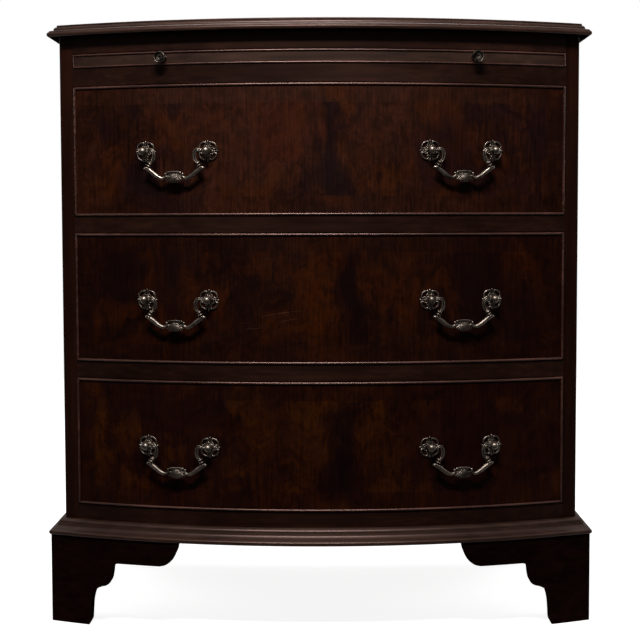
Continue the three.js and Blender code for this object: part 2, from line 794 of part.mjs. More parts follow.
// The dovetails at the front of the right side, grown by a gap to make their sockets.
function tails(gap) {
  const rootY = frontInnerY(drawerInside) + (gap > 0 ? OVERRUN : DRAWER_SIDE / 2);
  const tipY = frontInnerY(drawerReach) - TAIL_LENGTH - gap;
  const step = (sideHeight - 2 * TAIL_MARGIN) / (TAIL_COUNT - 1);
  const outer = gap > 0 ? drawerReach + OVERRUN : drawerReach;
  return Array.from({ length: TAIL_COUNT }, (_, index) => {
    const z = RUN_GAP + TAIL_MARGIN + index * step;
    const outline = [
      [rootY, z - TAIL_ROOT / 2 - gap],
      [rootY, z + TAIL_ROOT / 2 + gap],
      [tipY, z + TAIL_TIP / 2 + gap],
      [tipY, z - TAIL_TIP / 2 - gap],
    ];
    return prism("x", outline, drawerInside - gap, outer);
  });
}

function mirrorX(body) {
  const geometry = geometryOf(body);
  geometry.scale(-1, 1, 1);
  return solid(geometry);
}

function drawerFront() {
  const stations = [
    { inset: BEAD_WIDTH + JOINT_GAP, out: 0 },
    { inset: BEAD_WIDTH + JOINT_GAP, out: -BEAD_REBATE },
    { inset: 0, out: -BEAD_REBATE },
    { inset: 0, out: -DRAWER_FRONT },
  ];
  let board = bowedBlock(drawerReach, frontLow, frontHigh, stations);
  const grooveFaces = [
    { out: GROOVE_DEPTH + JOINT_GAP - DRAWER_FRONT },
    { out: -DRAWER_FRONT - OVERRUN },
  ];
  const grooveReach = drawerInside + GROOVE_DEPTH + JOINT_GAP;
  const [low, high] = [bottomLow - JOINT_GAP, bottomHigh + JOINT_GAP];
  board = board.subtract(bowedBlock(grooveReach, low, high, grooveFaces));
  for (const tail of tails(JOINT_GAP)) {
    board = board.subtract(tail).subtract(mirrorX(tail));
  }
  const boreFrom = -DRAWER_FRONT - OVERRUN;
  for (const side of [-1, 1]) {
    for (const post of [-1, 1]) {
      const turn = side * handleTurn + post * postTurn;
      board = board.subtract(rodOnBow(turn, handleZ, STEM_RADIUS + JOINT_GAP, boreFrom, OVERRUN));
    }
  }
  return board;
}

function drawerSide() {
  const outline = [
    [drawerInside, frontInnerY(drawerInside) + JOINT_GAP],
    [drawerReach, frontInnerY(drawerReach) + JOINT_GAP],
    [drawerReach, drawerEnd],
    [drawerInside, drawerEnd],
  ];
  let side = prism("z", outline, RUN_GAP, sideTop);
  for (const tail of tails(0)) {
    side = side.add(tail);
  }
  const groove = box(
    drawerInside - OVERRUN,
    drawerInside + GROOVE_DEPTH + JOINT_GAP,
    -BOW,
    CARCASE_DEPTH,
    bottomLow - JOINT_GAP,
    bottomHigh + JOINT_GAP,
  );
  return side.subtract(groove);
}

function drawerBottom() {
  const stations = [{ out: GROOVE_DEPTH - DRAWER_FRONT }, { y: drawerEnd }];
  return bowedBlock(drawerInside + GROOVE_DEPTH, bottomLow, bottomHigh, stations);
}

function drawerBack() {
  const reach = drawerInside - JOINT_GAP;
  const top = sideTop - DRAWER_BACK_DROP;
  return box(-reach, reach, drawerEnd - DRAWER_BACK, drawerEnd, bottomHigh + JOINT_GAP, top);
}

const bodies = {
  front: drawerFront(),
  bead: beadFrame(drawerReach, frontLow, frontHigh, BEAD_WIDTH, BEAD_PROUD, BEAD_REBATE),
  side: drawerSide(),
  bottom: drawerBottom(),
  back: drawerBack(),
  mount: handleMount(),
  bail: bail(),
};

function handle(name, turn) {
  const group = new THREE.Group();
  const bailMesh = named(`${name}_bail`, bodies.bail, ANTIQUE_BRASS);
  group.add(onBow(bailMesh, turn, axisOut, handleZ));
  const left = named(`${name}_rosette_left`, bodies.mount, ANTIQUE_BRASS);
  const right = mirrored(`${name}_rosette_right`, bodies.mount, ANTIQUE_BRASS);
  group.add(onBow(left, turn - postTurn, 0, handleZ), onBow(right, turn + postTurn, 0, handleZ));
  return group;
}

function drawer(name) {
  const group = new THREE.Group();
  group.add(
    named(`${name}_front`, bodies.front, FLAME_VENEER),
    named(`${name}_cock_bead`, bodies.bead, BEAD_MAHOGANY),
    named(`${name}_side_right`, bodies.side, DRAWER_OAK),
    mirrored(`${name}_side_left`, bodies.side, DRAWER_OAK),
    named(`${name}_bottom`, bodies.bottom, DRAWER_OAK),
    named(`${name}_back`, bodies.back, DRAWER_OAK),
    handle(`${name}_left`, -handleTurn),
    handle(`${name}_right`, handleTurn),
  );
  return group;
}

chest.add(at(drawer("bottom_drawer"), 0, 0, bottomOpeningZ));
chest.add(at(drawer("middle_drawer"), 0, 0, middleOpeningZ));
chest.add(at(drawer("top_drawer"), 0, 0, topOpeningZ));

// Brushing slide: a flat board with a beaded front edge and two knobs
const slideReach = halfOpening - SLIDE_GAP;
const slideLow = RUN_GAP;
const slideHigh = SLIDE_OPENING - SLIDE_GAP;
const slideMiddle = (slideLow + slideHigh) / 2;
const knobTurn = bowTurn(halfWidth * SLIDE_KNOB_OUT_SHARE);

function slideBoard() {
  const inset = SLIDE_BEAD_WIDTH + JOINT_GAP;
  const stations = [
    { inset, out: 0 },
    { inset, out: -SLIDE_BEAD_REBATE },
    { inset: 0, out: -SLIDE_BEAD_REBATE },
    { inset: 0, y: backPanelFace - SLIDE_END_ROOM },
  ];
  let board = bowedBlock(slideReach, slideLow, slideHigh, stations);
  const boreFrom = -SLIDE_KNOB_SCREW_LENGTH - JOINT_GAP;
  for (const side of [-1, 1]) {
    const radius = SLIDE_KNOB_SCREW + JOINT_GAP;
    board = board.subtract(rodOnBow(side * knobTurn, slideMiddle, radius, boreFrom, OVERRUN));
  }
  return board;
}

function slideKnob() {
  const rimHeight = SLIDE_KNOB_HEIGHT / 4;
  return turned([
    [0, -SLIDE_KNOB_SCREW_LENGTH],
    [SLIDE_KNOB_SCREW, -SLIDE_KNOB_SCREW_LENGTH],
    [SLIDE_KNOB_SCREW, JOINT_GAP],
    [SLIDE_KNOB_NECK, JOINT_GAP],
    [SLIDE_KNOB_NECK, SLIDE_KNOB_HEIGHT / 2],
    [SLIDE_KNOB_RADIUS, SLIDE_KNOB_HEIGHT - rimHeight],
    [SLIDE_KNOB_RADIUS, SLIDE_KNOB_HEIGHT - rimHeight / 2],
    [(SLIDE_KNOB_RADIUS + SLIDE_KNOB_DISH) / 2, SLIDE_KNOB_HEIGHT],
    [SLIDE_KNOB_DISH, SLIDE_KNOB_HEIGHT],
    [SLIDE_KNOB_DISH / 2, SLIDE_KNOB_HEIGHT - SLIDE_KNOB_DISH_DEPTH],
    [0, SLIDE_KNOB_HEIGHT - SLIDE_KNOB_DISH_DEPTH],
  ]);
}

function brushingSlide() {
  const group = new THREE.Group();
  const bead = beadFrame(
    slideReach,
    slideLow,
    slideHigh,
    SLIDE_BEAD_WIDTH,
    SLIDE_BEAD_PROUD,
    SLIDE_BEAD_REBATE,
  );
  const knob = slideKnob();
  group.add(
    named("slide_board", slideBoard(), MAHOGANY),
    named("slide_edge_bead", bead, BEAD_MAHOGANY),
    onBow(named("slide_knob_left", knob, ANTIQUE_BRASS), -knobTurn, 0, slideMiddle),
    onBow(named("slide_knob_right", knob, ANTIQUE_BRASS), knobTurn, 0, slideMiddle),
  );
  return group;
}

chest.add(at(brushingSlide(), 0, 0, slideOpeningZ));

// The whole chest reaches from the base moulding's front to the back, so its middle is between.
const frontmostY = -BOW - BASE_REACH;
chest.position.y = -(frontmostY + CARCASE_DEPTH) / 2;

const part = new THREE.Group();
part.add(chest);

export default part;
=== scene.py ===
import json
import math

import bmesh
import bpy
from bpy.props import FloatProperty, FloatVectorProperty, IntProperty, PointerProperty
from mathutils import Matrix, Vector


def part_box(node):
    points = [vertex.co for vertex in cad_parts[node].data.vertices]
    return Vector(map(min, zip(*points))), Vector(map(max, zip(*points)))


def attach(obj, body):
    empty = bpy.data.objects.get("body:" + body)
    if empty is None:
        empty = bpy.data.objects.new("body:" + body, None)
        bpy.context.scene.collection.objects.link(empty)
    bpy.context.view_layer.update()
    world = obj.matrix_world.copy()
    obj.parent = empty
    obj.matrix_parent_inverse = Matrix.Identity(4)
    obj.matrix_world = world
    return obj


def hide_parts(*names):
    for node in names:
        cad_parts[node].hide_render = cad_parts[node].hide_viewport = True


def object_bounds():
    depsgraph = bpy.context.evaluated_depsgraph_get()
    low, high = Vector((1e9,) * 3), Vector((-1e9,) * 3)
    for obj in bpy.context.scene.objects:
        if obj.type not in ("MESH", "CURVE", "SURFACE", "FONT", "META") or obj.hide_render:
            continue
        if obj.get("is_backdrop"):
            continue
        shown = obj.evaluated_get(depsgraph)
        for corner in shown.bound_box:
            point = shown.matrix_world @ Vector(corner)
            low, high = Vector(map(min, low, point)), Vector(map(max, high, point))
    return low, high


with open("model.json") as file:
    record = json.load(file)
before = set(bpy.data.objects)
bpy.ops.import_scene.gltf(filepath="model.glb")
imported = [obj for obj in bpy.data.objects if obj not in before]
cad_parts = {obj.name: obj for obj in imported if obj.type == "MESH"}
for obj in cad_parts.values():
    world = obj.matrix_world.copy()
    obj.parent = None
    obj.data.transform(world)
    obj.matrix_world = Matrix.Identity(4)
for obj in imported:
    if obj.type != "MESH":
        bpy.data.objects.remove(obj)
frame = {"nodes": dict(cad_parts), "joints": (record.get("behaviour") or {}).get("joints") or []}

CAD_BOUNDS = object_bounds()

bl_info = {
    "name": "Bow front chest of drawers",
    "version": (1, 0, 0),
    "blender": (4, 5, 0),
    "location": "View3D > Sidebar > Chest",
    "description": "Dresses a bow front mahogany chest with fine wood, veneer and brass handles",
    "category": "Object",
}

MM = 0.001
WHOLE_TURN = 2 * math.pi
# Points nearer than this are one point.
WELD = 1e-7
# What cut pieces keep between them.
GAP = 0.3 * MM
DRAWERS = ("bottom_drawer", "middle_drawer", "top_drawer")
RAILS = ("rail_bottom", "rail_lower", "rail_upper", "rail_under_slide", "rail_top")
SIDES = {"left": -1, "right": 1}

# Lengths that the frame gives
FRONT_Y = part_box("rail_bottom")[0].y
HALF_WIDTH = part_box("side_panel_right")[1].x
HALF_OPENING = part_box("side_panel_right")[0].x
BACK_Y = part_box("side_panel_right")[1].y
TOP_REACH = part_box("top_board")[1].x - HALF_WIDTH
BASE_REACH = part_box("base_moulding_right")[1].x - HALF_WIDTH
FOOT_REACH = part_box("foot_front_right")[1].x - HALF_WIDTH
BAIL_AXIS = {
    joint["child"]: Vector(joint["pos_m"])
    for joint in frame["joints"]
    if joint["type"] == "hinge"
}

# The moulded edge of the top, as smooth runs that meet in sharp lines: shares of the overhang
# and of the thickness, from the underside up.
TOP_EDGE = (
    ((0.9, 0), (0.97, 0.06), (1, 0.17), (0.985, 0.27), (0.93, 0.34)),
    ((0.93, 0.34), (0.85, 0.36)),
    ((0.85, 0.36), (0.83, 0.43), (0.72, 0.49), (0.58, 0.52)),
    ((0.58, 0.52), (0.46, 0.53)),
    ((0.46, 0.53), (0.45, 0.62)),
    ((0.45, 0.62), (0.42, 0.7), (0.33, 0.78), (0.25, 0.82)),
    ((0.25, 0.82), (0.18, 0.84)),
    ((0.18, 0.84), (0.2, 0.92), (0.16, 0.98), (0.09, 1)),
)
# The share of the way up that edge at which its nose is lightest, from wear and a painted highlight, and how
# many faces it spans.
TOP_NOSE_SHARE, TOP_NOSE_FACES = 0.18, 5
# The moulding round the base: shares of its reach and of its height, from the underside up.
BASE_EDGE = (
    ((0.93, 0), (1, 0.08), (1, 0.2), (0.93, 0.28)),
    ((0.93, 0.28), (0.7, 0.38), (0.52, 0.53), (0.46, 0.68)),
    ((0.46, 0.68), (0.4, 0.7)),
    ((0.4, 0.7), (0.36, 0.84), (0.25, 0.95), (0.12, 1)),
)
# The lower edge of a foot's bracket: shares of its length and height, from the toe up.
FOOT_EDGE = (
    ((0, 0), (0.3, 0)),
    (
        (0.3, 0), (0.315, 0.04), (0.32, 0.15), (0.329, 0.28), (0.356, 0.402), (0.4, 0.447),
        (0.44, 0.466), (0.475, 0.51), (0.488, 0.59), (0.494, 0.66), (0.506, 0.71), (0.535, 0.725),
    ),
    ((0.535, 0.725), (0.855, 0.725)),
    ((0.855, 0.725), (0.905, 0.747), (0.955, 0.81), (0.988, 0.9), (1, 0.99)),
)
# The glue block behind a foot's corner, small enough to hide behind the narrowest part of the
# front bracket: its side, its height above the floor, and how far it is let into the brackets.
GLUE_BLOCK, GLUE_BLOCK_LIFT, GLUE_BLOCK_SINK = 30 * MM, 30 * MM, 1 * MM
# How far the curved faces of these pieces lie from the bow. A drawer front has its face, the rebate
# for its bead, its back and the floor of its groove. The slide has its face and its bead's rebate.
DRAWER_FRONT_LEVELS = (0, -7 * MM, -20 * MM, -14.7 * MM)
SLIDE_LEVELS = (0, -6 * MM)
# The slide's bead: its width, how far it stands out and how deep it is let in.
SLIDE_BEAD = (2.4 * MM, 1.8 * MM, 5.7 * MM)
# Wear and painted highlight of the upright beads, where the level ones have one.
UPRIGHT_WEAR_AND_HIGHLIGHT = 0.15
# A corner rounded by round_corner has six points. These are the middle ones of the first two.
ARC_MIDDLES = (2, 3, 8, 9)

# The bail, as across and down shares and a share of the radius.
ARM_PATH = (
    (0.15, 0, 0.62), (0.2, -0.03, 0.7), (0.255, -0.045, 0.85), (0.31, -0.02, 0.98), (0.347, 0.05, 1.05),
    (0.362, 0.13, 1.08), (0.357, 0.205, 1.08), (0.335, 0.28, 1.0), (0.3, 0.335, 0.88), (0.265, 0.375, 0.72),
)
COLLAR_PATH = (
    (0.28, 0.355, 0.7), (0.264, 0.368, 1.1), (0.256, 0.376, 1.6), (0.247, 0.388, 1.8), (0.238, 0.402, 1.65),
    (0.23, 0.416, 1.0), (0.222, 0.43, 0.9), (0.214, 0.444, 1.6), (0.206, 0.458, 1.9), (0.198, 0.472, 1.75),
    (0.19, 0.486, 1.0), (0.181, 0.502, 0.92), (0.172, 0.518, 1.5), (0.164, 0.534, 1.7), (0.155, 0.55, 1.3),
    (0.145, 0.57, 0.9),
)
BAR_PATH = (
    (0.048, 0.572, 0.25), (0.055, 0.553, 0.5), (0.082, 0.54, 0.74), (0.125, 0.545, 0.9), (0.18, 0.572, 1.0),
    (0.245, 0.618, 1.04), (0.33, 0.688, 1.06), (0.42, 0.763, 1.02), (0.52, 0.828, 0.93), (0.61, 0.858, 0.8),
    (0.685, 0.846, 0.68), (0.73, 0.797, 0.58), (0.735, 0.74, 0.5),
)
# Small brass, in millimetres. The pin that enters the ball: distance in from its middle, and radius.
PIN_PATH = ((1.6, 1.3), (4.4, 1.3), (7, 1.2))
COLLAR_RADIUS = 2.2
# The bead that closes each bar: its radius, how far out it sits, and its across and down shares.
BEAD_RADIUS, BEAD_OUT, BEAD_ACROSS_SHARE, BEAD_DOWN_SHARE = 1.9, -0.6, 0.275, 0.725
# The bar behind the shell: its points across, its radius, its place in depth and its down share.
LINK_ACROSS, LINK_RADIUS, LINK_DEPTH, LINK_DOWN_SHARE = (-13, -8, -4, 0, 4, 8, 13), 1.7, 0.5, 0.81
# The shell: half the width that its ribs would reach, the part of that reach that its plate takes,
# the angle of the fan, and the plate's angle as a share of it.
RIBS_ACROSS, PLATE_SHARE, SHELL_SPREAD, PLATE_SPREAD_SHARE = 17.4, 0.84, math.radians(112), 1.04
SHELL_STEPS = 32
# The plate's loops as shares of its outline, with their depths, and how far it narrows upwards.
PLATE_LOOPS = ((0.55, 1.9), (0.92, 1.7), (1, 1.1), (0.95, 0.6), (0.76, 0.2), (0.4, -0.5), (0.05, -0.9))
PLATE_DROP = 5
# The plate's upper lip and the roll on it: shares of the shell's width, and their rise.
LIP_SHARE, LIP_RISE, ROLL_SHARE, ROLL_RISE = 0.78, 1.2, 0.8, 1.5
# The roll's place above and before the plate, its radius, and how much thinner it gets at its top.
ROLL_LIFT, ROLL_OUT, ROLL_RADIUS, ROLL_THINS = 0.1, -1.0, 1.3, 0.35
# One rib: shares of its length, depths and radii. It is drawn a metre long, and the tree scales it.
RIB_PATH = (
    (0.12, -0.6, 0.25), (0.3, -1.1, 0.4), (0.5, -1.5, 0.55), (0.7, -1.5, 0.74), (0.86, -1.2, 0.9),
    (0.95, -0.8, 0.9), (1.0, -0.5, 0.65), (1.03, -0.4, 0.3),
)
RIB_SIDES, RIB_PROUD_SHARE, RIB_LENGTH = 12, 1.4, 1000
# The rosette's plate stands this far from the wood, and its scrolls lie this far from its middle.
PLATE_DEPTH, SCROLL_PLACE = -1.3, 9.3
# A scroll: half its angle in degrees, its stretch across and along, its radius, and what the radius
# loses towards the ends and gains at their tips.
SCROLL_SWEEP, SCROLL_WIDE, SCROLL_LONG = 152, 1.3, 0.92
SCROLL_THICK, SCROLL_THINS, SCROLL_TIP = 1.12, 0.3, 0.5
# The petals of a bud by their angle in degrees: distances from the middle with a radius each.
SIDE_PETAL = ((9.4, 0.6), (10.8, 1.15), (12, 1.2), (12.9, 0.8), (13.4, 0.3))
PETALS = {
    0: ((4, 1.0), (6, 0.85), (8.5, 0.9), (10.2, 0.8), (11.4, 1.2), (12.8, 1.45), (13.8, 1.05), (14.4, 0.3)),
    -15: SIDE_PETAL,
    15: SIDE_PETAL,
}
LEAF = ((0, 3.8, 0.5), (0, 5, 0.8), (0, 6.2, 0.95), (0, 7.0, 0.7), (0, 7.5, 0.2))
# Turned pieces, as pairs of radius and height above the wood.
BOSS = (
    (0, 0.4), (5.0, 0.4), (5.4, 0.8), (5.3, 1.4), (4.7, 1.9), (4.4, 2.2), (4.3, 2.8), (3.9, 3.5), (3.4, 4.0),
    (3.1, 5.4), (3.2, 6.6),
)
STEM = ((0, -27.3), (1.9, -27.3), (2.4, -26.8), (2.4, 1.2), (0, 1.2))
NUT = ((0, -24.3), (4.6, -24.3), (5, -23.9), (5, -20.7), (4.6, -20.3), (0, -20.3))
KNOB_STEM = ((0, -14), (2.2, -13.6), (2.2, 0.3))
KNOB_HEAD = (
    (5.2, 0.35), (5.4, 0.9), (4.2, 1.5), (3.6, 3), (3.5, 5.2), (4.2, 7.4), (6.4, 9.6), (7.9, 11),
    (8.25, 12.2), (8.1, 13.5), (7.5, 14.5), (6.9, 15), (6.3, 14.8), (5.9, 14.2), (4.9, 13.75),
    (3.4, 13.5), (2.1, 13.4), (1.6, 13.0), (1.2, 12.3), (0.6, 12.0), (0, 12.0),
)
# Where the slide's knobs stand, as a share of half the width.
KNOB_SHARE = 0.5857


def to_linear(code):
    """An sRGB colour written as #rrggbb, as linear red, green, blue and alpha."""
    channels = [int(code[start:start + 2], 16) / 255 for start in (1, 3, 5)]
    bent = [c / 12.92 if c <= 0.04045 else ((c + 0.055) / 1.055) ** 2.4 for c in channels]
    return (*bent, 1.0)


def colour(name, description, code):
    """A colour property whose default is an sRGB code."""
    return FloatVectorProperty(
        name=name, description=description, default=to_linear(code), size=4,
        subtype="COLOR", min=0.0, max=1.0,
    )


def length(name, description, default):
    """A length property in metres."""
    return FloatProperty(name=name, description=description, default=default, unit="LENGTH", precision=5)


def lamp_power(name, description, default):
    """A lamp's power in watts."""
    return FloatProperty(name=name, description=description, default=default, unit="POWER")


class ChestShape(bpy.types.PropertyGroup):
    """Sizes of the woodwork that a user may change."""

    bow: length("Bow", "How far the middle of the front stands before its corners", 75 * MM)
    soft_edge: length("Soft edge", "How far sharp edges of the wood are rubbed down", 0.7 * MM)
    bead_width: length("Bead width", "Width of the cock bead round a drawer", 3 * MM)
    bead_proud: length("Bead height", "How far the cock bead stands out", 2.3 * MM)
    bead_rebate: length("Bead depth", "How deep the cock bead is let in", 7 * MM)
    bracket: length("Bracket", "Thickness of a foot's brackets", 24 * MM)
    front_bracket: length("Front bracket", "Length of a foot's front bracket", 180 * MM)
    side_bracket: length("Side bracket", "Length of a foot's side bracket", 150 * MM)
    back_bracket: length("Back bracket", "Length of a foot's back bracket", 110 * MM)
    bow_steps: IntProperty(name="Bow steps", description="Faces along the bow", default=96, min=16)
    curve_steps: IntProperty(name="Curve steps", description="Faces between two points", default=5, min=1)


class HandleShape(bpy.types.PropertyGroup):
    """Sizes of the brass handles and knobs that a user may change."""

    posts: length("Posts", "Between the two posts of a handle, on the face", 85.7 * MM)
    standoff: length("Standoff", "From the face to the middle of the ball", 12.5 * MM)
    ball: length("Ball", "Radius of the ball", 5.8 * MM)
    scroll: length("Scroll", "Radius of a scroll of the rosette", 4.25 * MM)
    drop: length("Drop", "From the bail's axis to its lowest point", 41.4 * MM)
    arm: length("Arm", "Half the width of the bail's arm", 2.3 * MM)
    bar: length("Bar", "Radius of the bail's bar", 2.95 * MM)
    shell_width: length("Shell width", "Half the width of the shell", 12 * MM)
    shell_height: length("Shell height", "Length of the shell's ribs", 12.8 * MM)
    flutes: IntProperty(name="Flutes", description="Ribs of the shell", default=9, min=3)
    voxel: length("Casting grain", "Size of the cubes that fuse a casting", 0.31 * MM)


class ChestFinish(bpy.types.PropertyGroup):
    """Colours of the finishes that a user may change."""

    rail: colour("Rails", "Polished mahogany of the rails", "#1f0e08")
    side: colour("Sides", "Polished mahogany of the sides", "#1e0b05")
    slide: colour("Slide", "Polished mahogany of the slide", "#2f1f18")
    moulding: colour("Mouldings", "Polished mahogany of the top and the base moulding", "#2b1b15")
    foot: colour("Feet", "Polished mahogany of the feet", "#140806")
    bead: colour("Bead", "Cock beads", "#38211b")
    plain: colour("Plain mahogany", "Unpolished wood inside the carcase", "#6b4029")
    lining: colour("Lining", "Oak of the drawers", "#a17c4e")
    back: colour("Back", "Back board", "#5f4229")
    brass: colour("Brass", "Bright parts of the old brass", "#887b70")
    brass_dark: colour("Brass, dark", "Hollows of the old brass", "#130e0b")


class StudioSetup(bpy.types.PropertyGroup):
    """Light and background that a user may change."""

    key: lamp_power("Key", "Power of the soft lamp above the front", 36)
    fill: lamp_power("Fill", "Power of each soft lamp behind and beside", 28)
    world: FloatProperty(name="Surroundings", description="Strength of the light all round", default=0.045)
    floor: colour("Floor", "Colour of the floor", "#a8a8a8")


# Shapes of wood


def through(points, steps):
    """A smooth curve through points of any dimension, with steps faces between two of them."""
    rows = [Vector(point) for point in points]
    if len(rows) == 2:
        return rows
    made = []
    for here in range(len(rows) - 1):
        a, b, c = rows[max(here - 1, 0)], rows[here], rows[here + 1]
        d = rows[min(here + 2, len(rows) - 1)]
        bend, twist = 2 * a - 5 * b + 4 * c - d, 3 * b - a - 3 * c + d
        for step in range(steps):
            t = step / steps
            made.append(0.5 * (2 * b + (c - a) * t + bend * t * t + twist * t**3))
    return [*made, rows[-1]]


def runs_through(runs, steps):
    """Smooth runs of shares joined end to end, held below one."""
    made = []
    for run in runs:
        made += through(run, steps)[1 if made else 0:]
    return [Vector((min(across, 1), min(up, 1))) for across, up in made]


class Bow:
    """The arc that every piece of the front follows."""

    def __init__(self, bow, steps):
        self.radius = (HALF_WIDTH**2 + bow**2) / (2 * bow)
        self.middle_y = FRONT_Y + self.radius
        self.steps = steps

    def y(self, x, out):
        """Where the arc lies at x, some way out from the bow."""
        return self.middle_y - math.sqrt((self.radius + out) ** 2 - x * x)

    def turn(self, x, out=0.0):
        """The angle of a point at x."""
        return math.asin(x / (self.radius + out))

    def point(self, turn, out, z):
        """The point at an angle and a height."""
        reach = self.radius + out
        return Vector((reach * math.sin(turn), self.middle_y - reach * math.cos(turn), z))

    def row(self, reach, out, z):
        """Points from one side to the other."""
        end = self.turn(reach, out)
        return [self.point(end * (2 * step / self.steps - 1), out, z) for step in range(self.steps + 1)]


def shade(mesh, degrees):
    """Smooth faces, with sharp edges where they meet at more than an angle."""
    bm = bmesh.new()
    bm.from_mesh(mesh)
    limit = math.radians(degrees)
    for edge in bm.edges:
        edge.smooth = edge.calc_face_angle(0.0) < limit
    for face in bm.faces:
        face.smooth = True
    bm.to_mesh(mesh)
    bm.free()


def cleaned(mesh, degrees):
    """Merges doubles, turns the faces outwards and shades the mesh."""
    bm = bmesh.new()
    bm.from_mesh(mesh)
    bmesh.ops.remove_doubles(bm, verts=bm.verts, dist=WELD)
    bmesh.ops.dissolve_degenerate(bm, edges=bm.edges, dist=WELD)
    bmesh.ops.recalc_face_normals(bm, faces=bm.faces)
    bm.to_mesh(mesh)
    bm.free()
    shade(mesh, degrees)
    return mesh


def loft(name, loops, material, ring=False, degrees=32, wear=None):
    """Joins loops of equal length with faces, and closes both ends or joins the last to the first.
    It also gives how much each point is painted lighter, as wear and as a painted highlight, from its loop
    and its place in the loop."""
    size = len(loops[0])
    points = [point for loop in loops for point in loop]
    faces = []
    for band in range(len(loops) if ring else len(loops) - 1):
        here, there = band * size, (band + 1) % len(loops) * size
        for corner in range(size):
            after = (corner + 1) % size
            faces.append((here + corner, here + after, there + after, there + corner))
    if not ring:
        faces.append(tuple(reversed(range(size))))
        faces.append(tuple(range(len(points) - size, len(points))))
    mesh = bpy.data.meshes.new(name)
    mesh.from_pydata(points, [], faces)
    mesh.materials.append(material)
    layer = mesh.attributes.new("wear", "FLOAT", "POINT")
    if wear:
        for index in range(len(points)):
            layer.data[index].value = wear(index // size, index % size)
    return cleaned(mesh, degrees)


def worn_and_lit_points(points):
    """Wear and painted highlight on some points of every loop, such as a rubbed, lit edge."""
    def wear(_, point):
        return 1.0 if point in points else 0.0
    return wear


def worn_and_lit_loops(middle, reach):
    """Wear and painted highlight on the loops near one, such as a nose, that fade beside it."""
    def wear(loop, _):
        return max(0.0, 1 - abs(loop - middle) / reach)
    return wear


def joined(name, meshes, degrees=32):
    """Several meshes as one."""
    bm = bmesh.new()
    for mesh in meshes:
        bm.from_mesh(mesh)
    made = bpy.data.meshes.new(name)
    bm.to_mesh(made)
    bm.free()
    for material in meshes[0].materials:
        made.materials.append(material)
    shade(made, degrees)
    return made


def reflected(mesh):
    """A copy on the other side of the middle, with its faces still outwards."""
    copy = mesh.copy()
    copy.transform(Matrix.Scale(-1, 4, (1, 0, 0)))
    copy.flip_normals()
    return copy


def round_corner(before, corner, after, radius):
    """Points that take a corner of an outline off in a small arc, with a point before and after it
    that keeps the flat faces beside it flat to the eye."""
    steps, flat_from = 3, 1.45
    back, on = (before - corner).normalized(), (after - corner).normalized()
    first, last = corner + back * radius, corner + on * radius
    made = [corner + back * radius * flat_from]
    for step in range(steps + 1):
        t = step / steps
        made.append(first * (1 - t) ** 2 + corner * 2 * t * (1 - t) + last * t * t)
    return [*made, corner + on * radius * flat_from]


def rounded(outline, radius, corners=None):
    """A closed outline with its corners, or some of them, rounded."""
    made = []
    for index, corner in enumerate(outline):
        if corners is None or index in corners:
            before, after = outline[index - 1], outline[(index + 1) % len(outline)]
            made += round_corner(before, corner, after, radius)
        else:
            made.append(corner)
    return made


def linked(name, data):
    """A new object in the scene, with its mesh, lamp or camera."""
    obj = bpy.data.objects.new(name, data)
    bpy.context.scene.collection.objects.link(obj)
    return obj


def piece(name, mesh, body, slot, *nodes):
    """Puts a finished mesh in the scene in place of its CAD nodes, riding on its body."""
    obj = linked(name, mesh)
    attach(obj, body)
    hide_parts(*nodes)


def wooden(node, mesh, body="carcase", slot="polished_mahogany"):
    """Puts finished wood in place of a CAD node."""
    piece(node + "_wood", mesh, body, slot, node)


def wooden_pair(stem, right):
    """Puts wood on the right of the carcase, and its mirror image on the left."""
    wooden(stem + "_right", right)
    wooden(stem + "_left", reflected(right))


def top_board(shape, bow, finishes):
    """The top, with its edge moulded on the front and both sides."""
    low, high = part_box("top_board")
    loops = []
    for across, up in runs_through(TOP_EDGE, shape.curve_steps):
        out, z = TOP_REACH * across, low.z + (high.z - low.z) * up
        reach = HALF_WIDTH + out
        back = [Vector((reach, BACK_Y, z)), Vector((-reach, BACK_Y, z))]
        loops.append([*bow.row(reach, out, z), *back])
    wear = worn_and_lit_loops(len(loops) * TOP_NOSE_SHARE, TOP_NOSE_FACES)
    mesh = loft("top_board", loops, finishes["moulding"], wear=wear)
    # The underside never got the wax, and is as dull as the feet; their nearly black colour on it is painted
    # shade under the overhang.
    mesh.materials.append(finishes["foot"])
    straight_down = -0.99
    for face in mesh.polygons:
        face.material_index = 1 if face.normal.z < straight_down else 0
    return mesh


def side_panel(shape, bow, wood):
    """The right side, with its front edge cut to the bow."""
    low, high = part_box("side_panel_right")
    outline = rounded([
        Vector((HALF_OPENING, bow.y(HALF_OPENING, 0))), Vector((HALF_WIDTH, bow.y(HALF_WIDTH, 0))),
        Vector((HALF_WIDTH, BACK_Y)), Vector((HALF_OPENING, BACK_Y)),
    ], shape.soft_edge, corners=(0, 1, 2))
    return loft("side_panel", [[Vector((x, y, z)) for x, y in outline] for z in (low.z, high.z)], wood)


def bowed_rail(node, bow, soft, wood):
    """A rail between the sides: a bowed face with softened edges and a straight back."""
    low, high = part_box(node)
    front, back = 0, 1
    section = rounded([
        Vector((front, low.z)), Vector((front, high.z)), Vector((back, high.z)), Vector((back, low.z)),
    ], soft, corners=(0, 1))
    loops = []
    for step in range(bow.steps + 1):
        x = HALF_OPENING * (2 * step / bow.steps - 1)
        loops.append([Vector((x, high.y if depth == back else bow.y(x, -depth), z)) for depth, z in section])
    return loft(node, loops, wood, wear=worn_and_lit_points(ARC_MIDDLES))


